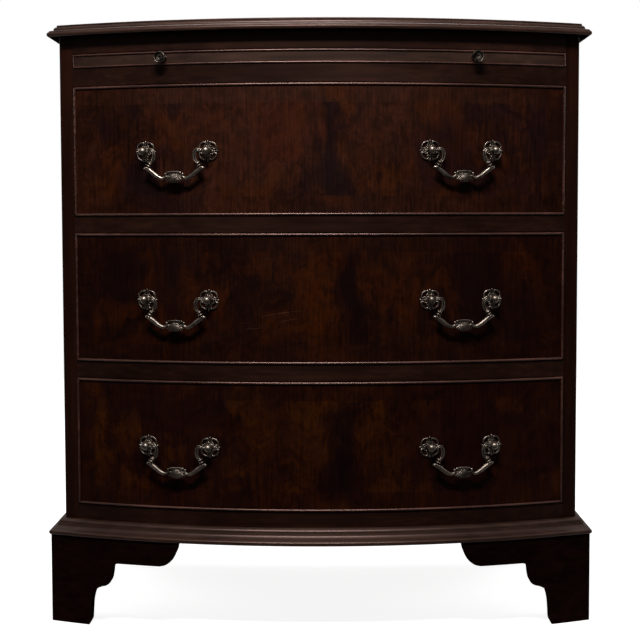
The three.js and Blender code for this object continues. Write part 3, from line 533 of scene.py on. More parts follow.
def bead_frame(node, bow, width, proud, rebate, wood):
    """A bead with a round nose that frames a bowed face, mitred at its corners."""
    low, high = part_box(node)
    nose, steps, nose_faces = width / 2, 10, 4
    profile = [(0.0, -rebate)]
    for step in range(steps + 1):
        turn = math.pi * step / steps
        profile.append((nose - nose * math.cos(turn), proud - nose + nose * math.sin(turn)))
    profile.append((width, -rebate))
    loops = []
    for inset, out in profile:
        reach = high.x - inset
        lower = bow.row(reach, out, low.z + inset)
        upper = bow.row(reach, out, high.z - inset)
        loops.append([*lower, *reversed(upper)])
    # The upright beads, which hang on the corner points alone, get less of the lighter nose than the level
    # ones: less wear, and less painted highlight, since the lamp above catches only the level beads.
    corners = (0, bow.steps, bow.steps + 1, 2 * bow.steps + 1)
    on_nose = worn_and_lit_loops(1 + steps / 2, nose_faces)

    def rubbed(loop, point):
        return (UPRIGHT_WEAR_AND_HIGHLIGHT if point in corners else 1.0) * on_nose(loop, point)

    return loft(node, loops, wood, ring=True, wear=rubbed)


def refined(node, bow, levels, wood):
    """A copy of a CAD node with its bowed faces made fine and true, at given distances from the bow."""
    cad_weld, flat, row_height = 2e-6, math.radians(0.4), 8 * MM
    farthest_in, farthest_out = -0.4 * MM, 0.05 * MM
    bm = bmesh.new()
    bm.from_mesh(frame["nodes"][node].data)
    bmesh.ops.remove_doubles(bm, verts=bm.verts, dist=cad_weld)
    bmesh.ops.dissolve_limit(bm, angle_limit=flat, verts=bm.verts, edges=bm.edges)
    low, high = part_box(node)
    for axis, parts in ((0, bow.steps), (2, max(1, round((high.z - low.z) / row_height)))):
        for step in range(1, parts):
            point, normal = Vector(), Vector()
            point[axis] = low[axis] + (high[axis] - low[axis]) * step / parts
            normal[axis] = 1
            everything = bm.verts[:] + bm.edges[:] + bm.faces[:]
            bmesh.ops.bisect_plane(bm, geom=everything, dist=WELD, plane_co=point, plane_no=normal)
    for vert in bm.verts:
        arm = Vector((vert.co.x, vert.co.y - bow.middle_y))
        out = arm.length - bow.radius
        for level in levels:
            if farthest_in < out - level < farthest_out:
                arm *= (bow.radius + level) / arm.length
                vert.co.x, vert.co.y = arm.x, arm.y + bow.middle_y
    bmesh.ops.recalc_face_normals(bm, faces=bm.faces)
    mesh = bpy.data.meshes.new(node)
    bm.to_mesh(mesh)
    bm.free()
    mesh.materials.append(wood)
    shade(mesh, 25)
    return mesh


def softened_block(low, high, soft, wood):
    """A square block with its edges taken off."""
    loops = []
    for inset, z in ((soft, low.z), (0, low.z + soft), (0, high.z - soft), (soft, high.z)):
        left, right, front, back = low.x + inset, high.x - inset, low.y + inset, high.y - inset
        corners = ((left, front), (right, front), (right, back), (left, back))
        loops.append(rounded([Vector((x, y, z)) for x, y in corners], soft))
    return loft("block", loops, wood)


def mitred_foot(shape, path, height, lengths, wood):
    """Two brackets that meet in a mitre: path gives a point for a distance along and a depth."""
    longest_face = 6 * MM
    edge = runs_through(FOOT_EDGE, shape.curve_steps)
    stations = []
    for bracket, long in enumerate(lengths):
        spread = []
        for here, there in zip(edge, edge[1:]):
            cuts = max(1, round((there.x - here.x) * long / longest_face))
            spread += [here.lerp(there, cut / cuts) for cut in range(cuts)]
        spread.append(edge[-1])
        row = [(bracket, share.x * long, share.y * height) for share in spread]
        stations += list(reversed(row)) if bracket == 0 else row[1:]
    thick = shape.bracket
    loops = []
    for bracket, along, low in stations:
        outline = [Vector((0, low)), Vector((0, height)), Vector((thick, height)), Vector((thick, low))]
        section = rounded(outline, min(shape.soft_edge, (height - low) / 3), corners=(0, 3))
        in_corner = max(0.0, 1 - along / thick)
        loops.append([path(bracket, along + depth * in_corner, depth, z) for depth, z in section])
    return loft("foot", loops, wood, degrees=28, wear=worn_and_lit_points(ARC_MIDDLES[:2]))


def base_mouldings(shape, bow, finishes):
    """The front moulding, bent to the bow, and the right one, mitred to it."""
    low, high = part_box("base_moulding_front")
    shares = runs_through(BASE_EDGE, shape.curve_steps)
    profile = [(BASE_REACH * out, low.z + (high.z - low.z) * up) for out, up in shares]
    profile = [(GAP, low.z), *profile, (GAP, high.z)]
    # The round at the bottom stands out most, and is painted lighter up to where the hollow begins: wear,
    # and a painted highlight along the nose.
    wear = worn_and_lit_points(range(2, 4 * shape.curve_steps))
    ends = [bow.turn(HALF_WIDTH + out - GAP / 2, out) for out, _ in profile]
    loops = []
    for step in range(bow.steps + 1):
        share = 2 * step / bow.steps - 1
        loops.append([bow.point(share * end, out, z) for end, (out, z) in zip(ends, profile)])
    front = loft("base_moulding_front", loops, finishes["moulding"], wear=wear)
    mitre = [Vector((HALF_WIDTH + out, bow.y(HALF_WIDTH + out, out) + GAP / 2, z)) for out, z in profile]
    back = [Vector((HALF_WIDTH + out, BACK_Y, z)) for out, z in profile]
    return front, loft("base_moulding_side", [mitre, back], finishes["moulding_side"], wear=wear)


def feet(shape, bow, wood):
    """The right feet, front and back, each two brackets with the glue block behind their corner."""
    reach = HALF_WIDTH + FOOT_REACH
    corner = bow.y(reach, FOOT_REACH)
    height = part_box("foot_front_right")[1].z
    inside = reach - shape.bracket

    def front_path(bracket, along, depth, z):
        if bracket == 0:
            return Vector((reach - depth, corner + along, z))
        x = reach - along
        return Vector((x, bow.y(x, FOOT_REACH - depth), z))

    def back_path(bracket, along, depth, z):
        if bracket == 0:
            return Vector((reach - depth, BACK_Y - along, z))
        return Vector((reach - along, BACK_Y - depth, z))

    for stem, path, second, block_y in (
        ("foot_front", front_path, shape.front_bracket, corner + shape.bracket),
        ("foot_back", back_path, shape.back_bracket, BACK_Y - shape.bracket - GLUE_BLOCK),
    ):
        brackets = mitred_foot(shape, path, height, (shape.side_bracket, second), wood)
        block = softened_block(
            Vector((inside - GLUE_BLOCK, block_y - GLUE_BLOCK_SINK, GLUE_BLOCK_LIFT)),
            Vector((inside + GLUE_BLOCK_SINK, block_y + GLUE_BLOCK + GLUE_BLOCK_SINK, height)),
            shape.soft_edge, wood,
        )
        yield stem, joined("foot", [brackets, block], 28)


# Materials

# Polish and wax warm the light that they throw back.
WARM_LIGHT = (1.0, 0.66, 0.57, 1.0)
# The old polish on the veneer throws back little, and its scuffs are a pale brown.
VENEER_SPECULAR = 0.12
SCUFF = to_linear("#6f4c3a")
# The kinds of node that are added most, and what eases a range at its ends.
MATH, MIX, RANGE = "ShaderNodeMath", "ShaderNodeMix", "ShaderNodeMapRange"
SMOOTH = {"interpolation_type": "SMOOTHSTEP"}
# The woods: material, colour property, its darkest and lightest tone as shares of that colour, axis of
# the grain, roughness from best to least polished, specular level and depth of the pores in millimetres.
TIMBERS = {
    # French polished mahogany: dark red brown streaks under a soft gloss.
    "rail": ("mahogany_rail_french_polished", "rail", (0.5, 1.9), "x", (0.34, 0.44), 0.26, 0.05),
    "side": ("mahogany_side_french_polished", "side", (0.6, 1.7), "z", (0.4, 0.5), 0.1, 0.05),
    "slide": ("mahogany_slide_french_polished", "slide", (0.55, 1.6), "x", (0.36, 0.46), 0.45, 0.05),
    # The same wood on the mouldings, waxed over the polish: lighter on its rounds, from wear and from a
    # painted highlight.
    "moulding": ("mahogany_moulding_waxed", "moulding", (0.5, 1.8), "x", (0.3, 0.4), 0.5, 0.04),
    "moulding_side": ("mahogany_moulding_waxed_deep", "moulding", (0.5, 1.8), "y", (0.3, 0.4), 0.5, 0.04),
    # Old polish near the floor: nearly black, dull and dry.
    "foot": ("mahogany_foot_old_polish", "foot", (0.6, 1.8), "x", (0.5, 0.65), 0.0, 0.08),
    # Mahogany bead scraped to a round: lighter along its nose, from rubbing and from a painted highlight.
    "bead": ("mahogany_bead_rubbed", "bead", (0.5, 2.6), "x", (0.3, 0.4), 1.0, 0.03),
    # Planed and never polished: dry and matt, with open pores.
    "plain": ("mahogany_planed_bare", "plain", (0.62, 1.25), "y", (0.6, 0.75), 0.3, 0.15),
    # Quartered oak, planed and waxed: pale brown with strong pores.
    "lining_y": ("oak_lining_waxed", "lining", (0.62, 1.25), "y", (0.5, 0.68), 0.4, 0.15),
    "lining_x": ("oak_lining_cross_waxed", "lining", (0.62, 1.25), "x", (0.5, 0.68), 0.4, 0.15),
    # Thin board, sawn and stained: dusty brown.
    "back": ("backboard_stained", "back", (0.62, 1.25), "z", (0.7, 0.85), 0.2, 0.2),
}
# The veneers: their tones, and soft ovals of them on the field and the border, each with its place from
# the middle of the face, its half sizes in millimetres and its strength. Scuffs are ovals too. The
# shift takes each front from its own part of the figure.
# The middle and bottom fronts' tones are darker than the top one's: painted shade for the light that falls
# off down the front.
VENEERS = {
    "top_drawer": {
        "tones": {
            "dark": "#150704", "ground": "#230d06", "light": "#31160b", "purple": "#16080a",
            "orange": "#361604", "red": "#331208", "black": "#0f0607", "pale": "#3a2015",
        },
        "shift": (3.1, 0, 7.7),
        "field": (
            # Painted light: the two light ovals brighten the field near its middle, where the lamp falls
            # most.
            ("light", -98, 12, 100, 85, 0.8), ("light", 100, 30, 60, 50, 0.4),
            ("red", -43, 22, 45, 50, 0.7), ("orange", -187, 24, 36, 34, 0.55),
            ("orange", -280, -40, 26, 46, 0.5), ("orange", 47, -5, 30, 55, 0.3),
            ("purple", -239, -54, 40, 30, 0.85), ("purple", 170, -9, 55, 55, 0.8),
            ("purple", 300, 11, 34, 60, 0.8), ("purple", 235, -45, 50, 26, 0.5),
            ("dark", -262, 30, 34, 30, 0.7), ("black", 11, 18, 11, 90, 0.9),
            ("black", 13, -40, 34, 30, 0.75),
        ),
        "border": (
            # Painted sheen: the pale oval along the top of the border.
            ("pale", -40, 73, 330, 40, 0.35), ("orange", 22, 73, 30, 16, 0.9),
            ("orange", 26, -73, 30, 14, 0.7), ("purple", -200, -72, 60, 20, 0.5),
        ),
    },
    "middle_drawer": {
        "tones": {
            "dark": "#0f0403", "ground": "#1a0703", "light": "#250d03", "purple": "#110404",
            "orange": "#301101", "black": "#0b0203",
        },
        "shift": (8.3, 0, 1.4),
        "scuffs": ((-75, -22, 62, 24),),
        "field": (
            ("orange", -6, 0, 26, 75, 1.0), ("orange", -52, -40, 36, 30, 0.6),
            ("orange", -170, 4, 18, 30, 0.6), ("orange", 100, 35, 46, 36, 0.45),
            ("orange", -305, -36, 18, 34, 0.6), ("orange", 292, 1, 16, 70, 0.4),
            ("orange", -240, -62, 50, 16, 0.5), ("purple", -267, 30, 42, 44, 0.9),
            ("purple", -199, 8, 24, 50, 0.8), ("purple", -140, -48, 50, 28, 0.5),
            ("purple", 214, 12, 48, 75, 0.95), ("purple", 270, -30, 30, 60, 0.8),
            ("black", 42, 2, 17, 78, 0.95),
        ),
        "border": (("orange", 10, -73, 60, 14, 0.6), ("purple", 200, 73, 60, 14, 0.5)),
    },
    "bottom_drawer": {
        "tones": {
            "dark": "#110403", "ground": "#1c0703", "light": "#270e03", "purple": "#170504",
            "orange": "#361702", "black": "#090203",
        },
        "shift": (1.7, 0, 4.2),
        "field": (
            ("orange", -295, 4, 15, 75, 0.95), ("orange", -80, 20, 36, 62, 0.5),
            ("orange", -20, 0, 26, 75, 0.55), ("orange", 77, 12, 24, 60, 0.45),
            ("purple", -205, 50, 70, 34, 0.8), ("purple", 195, 5, 110, 80, 0.85),
            ("purple", -143, -10, 40, 42, 0.6), ("black", 30, 10, 22, 76, 0.9),
            ("black", 28, -40, 24, 30, 0.6),
        ),
        "border": (
            ("orange", 16, -73, 30, 12, 0.6), ("orange", 322, -60, 12, 24, 0.6),
            ("orange", -310, 70, 20, 16, 0.5),
        ),
    },
}


def add(tree, kind, *values, inputs=None, **settings):
    """Adds a node with its settings, sets or links its inputs by their order or their names, and
    returns its outputs."""
    node = tree.nodes.new(kind)
    for name, value in settings.items():
        setattr(node, name, value)
    for name, value in {**dict(enumerate(values)), **(inputs or {})}.items():
        if isinstance(value, bpy.types.NodeSocket):
            tree.links.new(value, node.inputs[name])
        else:
            node.inputs[name].default_value = value
    return node.outputs


def times(tree, *values):
    """All values multiplied."""
    product = values[0]
    for value in values[1:]:
        product = add(tree, MATH, product, value, operation="MULTIPLY")[0]
    return product


def weighted(tree, *pairs):
    """The sum of values, each times its share."""
    total = times(tree, *pairs[-1])
    for value, share in reversed(pairs[:-1]):
        total = add(tree, MATH, value, share, total, operation="MULTIPLY_ADD")[0]
    return total


def layered(tree, ground, *layers):
    """A colour with other tones laid on it in turn, each with its share."""
    for share, tone in layers:
        ground = add(tree, MIX, inputs={0: share, 6: ground, 7: tone}, data_type="RGBA")[2]
    return ground


def three_tones(tree, value, reach, tones):
    """A dark, a middle and a light tone: the middle one at a half, the others that far from it."""
    toned = add(tree, "ShaderNodeValToRGB", value)[0]
    elements = toned.node.color_ramp.elements
    elements.new(0.5)
    for element, place, tone in zip(elements, (0.5 - reach, 0.5, 0.5 + reach), tones):
        element.position = place
        element.color = tone
    return toned


def pattern(tree, place, sizes, detail=4, roughness=0.55, distortion=0.0, shift=(0, 0, 0), output=0):
    """An uneven pattern, whose waves are as long as the sizes in millimetres along the three axes."""
    waves = [1 / (size * MM) for size in sizes]
    laid = add(tree, "ShaderNodeMapping", place, shift, (0, 0, 0), waves)[0]
    inputs = {"Scale": 1.0, "Detail": detail, "Roughness": roughness, "Distortion": distortion}
    return add(tree, "ShaderNodeTexNoise", laid, inputs=inputs)[output]


def patch(tree, place, middle, oval):
    """A soft oval on a face, one in its middle and zero outside."""
    x, z, wide, high = (measure * MM for measure in oval)
    shift, size = (-x / wide, 0, -(middle + z) / high), (1 / wide, 0, 1 / high)
    inside = add(tree, "ShaderNodeMapping", place, shift, (0, 0, 0), size)[0]
    away = add(tree, "ShaderNodeVectorMath", inside, operation="LENGTH")["Value"]
    return add(tree, RANGE, away, 1.25, 0.35, **SMOOTH)[0]


def material(name, **constants):
    """A new material with the constant values of its shader."""
    made = bpy.data.materials.new(name)
    made.use_nodes = True
    shader = made.node_tree.nodes["Principled BSDF"]
    for socket, value in constants.items():
        shader.inputs[socket.replace("_", " ")].default_value = value
    return made, made.node_tree, shader


def finished(tree, shader, tone, roughness, relief, depth, strength):
    """Links the colour, the roughness and the relief of a surface to its shader."""
    inputs = {"Height": relief, "Distance": depth, "Strength": strength}
    bump = add(tree, "ShaderNodeBump", inputs=inputs)[0]
    for socket, value in (("Base Color", tone), ("Roughness", roughness), ("Normal", bump)):
        tree.links.new(value, shader.inputs[socket])


def timber(name, tones, axis, gloss, specular, depth):
    """Straight grained wood: long streaks, pores and a slow change of tone."""
    made, tree, shader = material(name, Specular_IOR_Level=specular, Specular_Tint=WARM_LIGHT)
    place = add(tree, "ShaderNodeTexCoord")["Object"]
    worn_and_lit = add(tree, "ShaderNodeAttribute", attribute_name="wear")["Fac"]

    def grain(along, across, **settings):
        return pattern(tree, place, [along if way == axis else across for way in "xyz"], **settings)

    streaks = grain(200, 6.25, detail=6, roughness=0.62, distortion=0.15)
    # Real pores are finer than a pixel, so these are drawn several times as wide.
    pores = grain(22.2, 1.11, detail=2)
    clouds = grain(167, 71.4)
    streaked = three_tones(tree, weighted(tree, (streaks, 0.6), (clouds, 0.4)), 0.14, tones)
    open_pores = add(tree, RANGE, pores, 0.55, 0.7, 0.0, 0.55, **SMOOTH)[0]
    # Wear and painted highlight: the marked noses and edges are laid over with the lightest tone.
    rubbed = times(tree, worn_and_lit, add(tree, RANGE, clouds, 0.35, 0.65, 0.1, 0.6, **SMOOTH)[0])
    tone = layered(tree, streaked, (open_pores, tones[0]), (rubbed, tones[-1]))
    roughness = add(tree, RANGE, clouds, 0.3, 0.7, *gloss, **SMOOTH)[0]
    finished(tree, shader, tone, roughness, pores, depth, 0.5)
    return made


class Veneer:
    """French polished mahogany veneer, laid by hand: upright grain under cloudy purple and orange
    figure, a dark flame near the middle and a crossbanded border."""

    def __init__(self, tree, look, middle):
        self.tree, self.look, self.middle = tree, look, middle
        self.tones = {key: to_linear(code) for key, code in look["tones"].items()}
        self.wood = [self.tones[key] for key in ("dark", "ground", "light")]
        self.place = add(tree, "ShaderNodeTexCoord")["Object"]
        # The figure wanders as a cut through curly wood does.
        sway = pattern(tree, self.place, (38.5, 111, 111), detail=5, roughness=0.6, output="Color")
        farthest = Vector((75 * MM, 0, 90 * MM))
        aside = add(tree, "ShaderNodeVectorMath", sway, farthest, self.place, operation="MULTIPLY_ADD")[0]
        self.curly = add(tree, "ShaderNodeVectorMath", aside, farthest / 2, operation="SUBTRACT")[0]
        self.grain = pattern(tree, self.place, (2.63, 5, 45.5), detail=5, roughness=0.65, distortion=0.2)
        # Flecks are finer than a pixel in real veneer, and are drawn a little coarser.
        self.fleck = pattern(tree, self.place, (1.11, 2, 18.2), detail=2)
        self.clouds = self.figure((71.4, 167, 143), detail=5, roughness=0.6, shift=look["shift"])
        self.mottle = self.figure((16.7, 25, 12.5), detail=5, roughness=0.7)

    def figure(self, sizes, **settings):
        """A pattern that wanders with the curly wood."""
        return pattern(self.tree, self.curly, sizes, **settings)

    def patched(self, ground, where, lively=1.0):
        """Soft ovals of other tones laid on the field or the border."""
        for tone, *oval, strength in self.look[where]:
            spot = patch(self.tree, self.curly, self.middle, oval)
            ground = layered(self.tree, ground, (times(self.tree, spot, lively, strength), self.tones[tone]))
        return ground

    def field(self):
        """Upright grain and clouds of purple and orange, with the strong figure over them."""
        tree = self.tree
        parts = ((self.mottle, 0.36), (self.clouds, 0.26), (self.grain, 0.28), (self.fleck, 0.1))
        tone = three_tones(tree, weighted(tree, *parts), 0.1, self.wood)
        hue = self.figure((41.7, 83.3, 52.6), roughness=0.6, shift=self.look["shift"])
        purple = add(tree, RANGE, hue, 0.52, 0.62, 0.0, 0.7, **SMOOTH)[0]
        orange = add(tree, RANGE, hue, 0.47, 0.38, 0.0, 0.6, **SMOOTH)[0]
        tone = layered(tree, tone, (purple, self.tones["purple"]), (orange, self.tones["orange"]))
        lively = add(tree, RANGE, self.mottle, 0.35, 0.6, 0.55, 1.0, **SMOOTH)[0]
        return self.patched(tone, "field", lively)

    def border(self, on_end):
        """Crossbanding: the grain runs across the border, and so from side to side at both ends."""
        tree = self.tree
        end_grain = pattern(tree, self.place, (62.5, 125, 3.03), detail=5, roughness=0.6)
        grain = add(tree, MIX, inputs={0: on_end, 2: self.grain, 3: end_grain})[0]
        figure = weighted(tree, (grain, 0.3), (self.mottle, 0.2), (self.clouds, 0.5))
        return self.patched(three_tones(tree, figure, 0.14, self.wood), "border")

    def from_edge(self, value, middle, reach):
        """How far a value lies inside the two edges that reach so far from a middle."""
        off = add(self.tree, MATH, value, middle, operation="SUBTRACT")[0]
        away = add(self.tree, MATH, off, operation="ABSOLUTE")[0]
        return add(self.tree, MATH, reach, away, operation="SUBTRACT")[0]

    def tone(self, reach):
        """The whole face, which reaches so far from its middle across and up."""
        tree, width, blur = self.tree, 22 * MM, 0.3 * MM
        across, _, up = add(tree, "ShaderNodeSeparateXYZ", self.place)
        from_side = self.from_edge(across, 0.0, reach[0])
        from_top = self.from_edge(up, self.middle, reach[1])
        nearest = add(tree, MATH, from_top, from_side, operation="MINIMUM")[0]
        nearer_side = add(tree, MATH, from_top, from_side, operation="SUBTRACT")[0]
        on_end = add(tree, RANGE, nearer_side, 0.0, 0.4 * MM, **SMOOTH)[0]
        banded = add(tree, RANGE, nearest, width + blur, width - blur, **SMOOTH)[0]
        # A hair line where the border meets the field.
        line = add(tree, RANGE, self.from_edge(nearest, width, 0.0), -0.9 * MM, -0.2 * MM, **SMOOTH)[0]
        border = (times(tree, banded, 0.75), self.border(on_end))
        whole = layered(tree, self.field(), border, (times(tree, line, 0.15), self.tones["light"]))
        # Short streaks and mottling run through all of it, light and dark by turns.
        streaks = weighted(tree, (self.grain, 0.5), (self.mottle, 0.5))
        light = add(tree, RANGE, streaks, 0.36, 0.64, 0.66, 1.34, **SMOOTH)[0]
        inputs = {0: 1.0, 6: whole, 7: light}
        return add(tree, MIX, inputs=inputs, data_type="RGBA", blend_type="MULTIPLY")[2]

    def scuffed(self, tone):
        """Old scuffs in the polish: thin slanting marks in one place."""
        tree = self.tree
        for oval in self.look.get("scuffs", ()):
            slant = add(tree, "ShaderNodeMapping", self.place, (0, 0, 0), (0, math.radians(8), 0))[0]
            marks = pattern(tree, slant, (83.3, 200, 3.33), detail=2, distortion=0.5)
            thin = add(tree, RANGE, marks, 0.64, 0.72, **SMOOTH)[0]
            spot = patch(tree, self.place, self.middle, oval)
            tone = layered(tree, tone, (times(tree, thin, spot, 0.3), SCUFF))
        return tone


def veneered(name, look, middle, reach):
    """The veneer of one drawer front, under an uneven old polish."""
    made, tree, shader = material(name, Specular_IOR_Level=VENEER_SPECULAR, Specular_Tint=WARM_LIGHT)
    veneer = Veneer(tree, look, middle)
    tone = veneer.scuffed(veneer.tone(reach))
    smear = pattern(tree, veneer.place, (111, 111, 83.3), roughness=0.65)
    roughness = add(tree, RANGE, smear, 0.3, 0.7, 0.38, 0.5, **SMOOTH)[0]
    finished(tree, shader, tone, roughness, veneer.fleck, 0.04 * MM, 0.35)
    return made


def old_brass(finish):
    """Cast brass, dulled and darkened by age: bright where hands rub it, nearly black in the hollows."""
    made, tree, shader = material("cast_brass_aged", Metallic=1.0)
    place = add(tree, "ShaderNodeTexCoord")["Object"]
    hollow = add(tree, "ShaderNodeAttribute", attribute_name="hollow")["Fac"]
    tarnish = pattern(tree, place, (11.1, 11.1, 11.1), roughness=0.6)
    # The grit of the casting is drawn about twice as coarse, to show.
    grit = pattern(tree, place, (1.11, 1.11, 1.11), detail=2)
    stained = add(tree, RANGE, tarnish, 0.4, 0.7, 0.0, 0.5, **SMOOTH)[0]
    dirt_and_shade = add(tree, MATH, hollow, stained, operation="ADD")[0]
    dull = add(tree, RANGE, dirt_and_shade, 0.02, 0.7, **SMOOTH)[0]
    tone = layered(tree, finish.brass, (dull, finish.brass_dark))
    roughness = add(tree, RANGE, dirt_and_shade, 0.1, 0.9, 0.37, 0.6, **SMOOTH)[0]
    finished(tree, shader, tone, roughness, grit, 0.08 * MM, 0.35)
    return made


def shades(tone, low, high):
    """A tone between a darker and a lighter one."""
    return [(*(min(1.0, share * channel) for channel in tuple(tone)[:3]), 1.0) for share in (low, 1, high)]


# Every finish by its key, made by the first operator that asks for them.
FINISHES = {}


def make_finishes(finish):
    """Every finish of the chest, made once."""
    if FINISHES:
        return FINISHES
    for key, (name, tone, spread, *look, depth) in TIMBERS.items():
        FINISHES[key] = timber(name, shades(getattr(finish, tone), *spread), *look, depth * MM)
    # The upright beads are rubbed less than the level ones, and throw back less light: the specular level
    # follows the same mask of wear and painted highlight.
    tree = FINISHES["bead"].node_tree
    worn_and_lit = add(tree, "ShaderNodeAttribute", attribute_name="wear")["Fac"]
    shine = add(tree, RANGE, worn_and_lit, 0.0, 0.5, 0.2, 1.0, **SMOOTH)[0]
    tree.links.new(shine, tree.nodes["Principled BSDF"].inputs["Specular IOR Level"])
    FINISHES["brass"] = old_brass(finish)
    return FINISHES


# Geometry Nodes


def new_tree(name, *measures):
    """A Geometry Nodes tree with named inputs, and the sockets that give them."""
    tree = bpy.data.node_groups.new(name, "GeometryNodeTree")
    inputs = {"Geometry": "Geometry", "Piece": "Object", "Count": "Int"}
    inputs.update(dict.fromkeys(measures, "Float"), Material="Material")
    for label, kind in inputs.items():
        tree.interface.new_socket(label, in_out="INPUT", socket_type=f"NodeSocket{kind}")
    tree.interface.new_socket("Geometry", in_out="OUTPUT", socket_type="NodeSocketGeometry")
    return tree, add(tree, "NodeGroupInput")


def set_copies(tree, given, *threes):
    """Sets so many copies of the piece, realises them, gives them their material and sends them out.
    The place, the turn and the size of a copy are three values each."""
    place, turn, size = (add(tree, "ShaderNodeCombineXYZ", *three)[0] for three in threes)
    points = add(tree, "GeometryNodePoints", given["Count"], place)[0]
    piece_shape = add(tree, "GeometryNodeObjectInfo", given["Piece"])["Geometry"]
    rotation = add(tree, "FunctionNodeEulerToRotation", turn)[0]
    inputs = {"Points": points, "Instance": piece_shape, "Rotation": rotation, "Scale": size}
    copies = add(tree, "GeometryNodeInstanceOnPoints", inputs=inputs)[0]
    real = add(tree, "GeometryNodeRealizeInstances", copies)[0]
    inputs = {"Geometry": real, "Material": given["Material"]}
    painted = add(tree, "GeometryNodeSetMaterial", inputs=inputs)[0]
    add(tree, "NodeGroupOutput", painted)


def fan_tree():
    """Pieces turned round one point like the ribs of a fan, each stretched to reach an oval."""
    tree, given = new_tree("fan_of_pieces", "First turn", "Whole turn", "Across", "Along")
    index = add(tree, "GeometryNodeInputIndex")[0]
    step = add(tree, MATH, index, 0.5, operation="ADD")[0]
    share = add(tree, MATH, step, given["Count"], operation="DIVIDE")[0]
    turn = add(tree, MATH, share, given["Whole turn"], given["First turn"], operation="MULTIPLY_ADD")[0]
    squares = []
    for trigonometry, half in (("SINE", "Across"), ("COSINE", "Along")):
        part = add(tree, MATH, turn, operation=trigonometry)[0]
        part = add(tree, MATH, part, given[half], operation="DIVIDE")[0]
        squares.append((part, part))
    root = add(tree, MATH, weighted(tree, *squares), operation="SQRT")[0]
    reach = add(tree, MATH, 1.0, root, operation="DIVIDE")[0]
    set_copies(tree, given, (0, 0, 0), (0, turn, 0), (1, 1, reach))
    return tree


def bow_tree():
    """Pieces set on the bow in pairs, left and right of the middle, square to the face."""
    tree, given = new_tree("pairs_on_bow", "Radius", "Centre", "Middle turn", "Half spread", "Height")
    index = add(tree, "GeometryNodeInputIndex")[0]
    odd = add(tree, MATH, index, 2.0, operation="MODULO")[0]
    side = add(tree, MATH, odd, 2.0, -1.0, operation="MULTIPLY_ADD")[0]
    pair = add(tree, MATH, add(tree, MATH, index, 2.0, operation="DIVIDE")[0], operation="FLOOR")[0]
    post = add(tree, MATH, pair, 2.0, -1.0, operation="MULTIPLY_ADD")[0]
    spread = times(tree, post, given["Half spread"])
    turn = add(tree, MATH, side, given["Middle turn"], spread, operation="MULTIPLY_ADD")[0]
    x = times(tree, add(tree, MATH, turn, operation="SINE")[0], given["Radius"])
    deep = times(tree, add(tree, MATH, turn, operation="COSINE")[0], given["Radius"])
    y = add(tree, MATH, given["Centre"], deep, operation="SUBTRACT")[0]
    set_copies(tree, given, (x, y, given["Height"]), (0, 0, turn), (times(tree, post, -1.0), 1, 1))
    return tree


def evaluated(obj, name):
    """The object's mesh with its modifiers worked in; the object itself is deleted."""
    bpy.context.view_layer.update()
    graph = bpy.context.evaluated_depsgraph_get()
    made = bpy.data.meshes.new_from_object(obj.evaluated_get(graph))
    made.name = name
    bpy.data.objects.remove(obj)
    return made


def grown(tree, name, mesh, brass, settings):
    """Runs a tree on a mesh with its inputs set by their identifiers, and returns the plain result."""
    source, carrier = linked(name + "_source", mesh), linked(name, bpy.data.meshes.new(name))
    modifier = carrier.modifiers.new("grow", "NODES")
    modifier.node_group = tree
    values = {"Piece": source, "Material": brass, **settings}
    for socket in tree.interface.items_tree:
        if socket.in_out == "INPUT" and socket.name in values:
            modifier[socket.identifier] = values[socket.name]
    carrier.update_tag()
    made = evaluated(carrier, name)
    bpy.data.objects.remove(source)
    return made


# Brass, drawn in millimetres


def heading(stations, index):
    """The way a bar runs at one of its stations."""
    before, after = stations[max(index - 1, 0)], stations[min(index + 1, len(stations) - 1)]
    return Vector((after[0] - before[0], after[1] - before[1])).normalized()


def turns(sides):
    """The angles of so many points round a circle."""
    return [WHOLE_TURN * side / sides for side in range(sides)]


def tube(stations, sides=14, flat=1.0):
    """A round bar along points with a radius each, in the plane that faces the viewer."""
    loops = []
    for index, (x, z, radius) in enumerate(stations):
        along = heading(stations, index)
        loop = []
        for turn in turns(sides):
            lift = radius * math.cos(turn)
            loop.append(Vector((x - along.y * lift, radius * flat * math.sin(turn), z + along.x * lift)))
        loops.append(loop)
    return loops


def turned(profile, sides=48):
    """Loops of a turned piece from pairs of radius and height, out from the face along -Y."""
    loops = []
    for radius, height in profile:
        radius = max(radius, 0.001)
        loops.append([Vector((radius * math.cos(a), -height, radius * math.sin(a))) for a in turns(sides)])
    return loops


def ball_profile(radius, out, start, step):
    """The profile of a ball whose middle lies so far out, from an angle in degrees to its top."""
    angles = [math.radians(degrees) for degrees in range(start, 181, step)]
    return [(radius * math.sin(angle), out - radius * math.cos(angle)) for angle in angles]


def twinned(stations):
    """Two round bars side by side that together are as wide as the one given."""
    rows = []
    for aside_share in (-0.52, 0.52):
        row = []
        for index, (x, z, radius) in enumerate(stations):
            along, aside = heading(stations, index), aside_share * radius
            row.append((x - along.y * aside, z + along.x * aside, 0.5 * radius))
        rows.append(row)
    return rows


def cast(name, loops, brass, at=(0, 0, 0), degrees=32):
    """A piece of brass from loops in millimetres, moved to its place."""
    shift = Vector(at)
    return loft(name, [[(point + shift) * MM for point in loop] for loop in loops], brass, degrees=degrees)


def fused(name, meshes, voxel, brass, smooth):
    """One casting from overlapping pieces: their union in small cubes, smoothed again."""
    carrier = linked(name + "_casting", joined(name + "_parts", meshes))
    remesh = carrier.modifiers.new("fuse", "REMESH")
    remesh.mode = "VOXEL"
    remesh.voxel_size = voxel
    soft = carrier.modifiers.new("soften", "SMOOTH")
    soft.factor = 0.5
    soft.iterations = smooth
    mesh = evaluated(carrier, name)
    mesh.materials.clear()
    mesh.materials.append(brass)
    return mesh


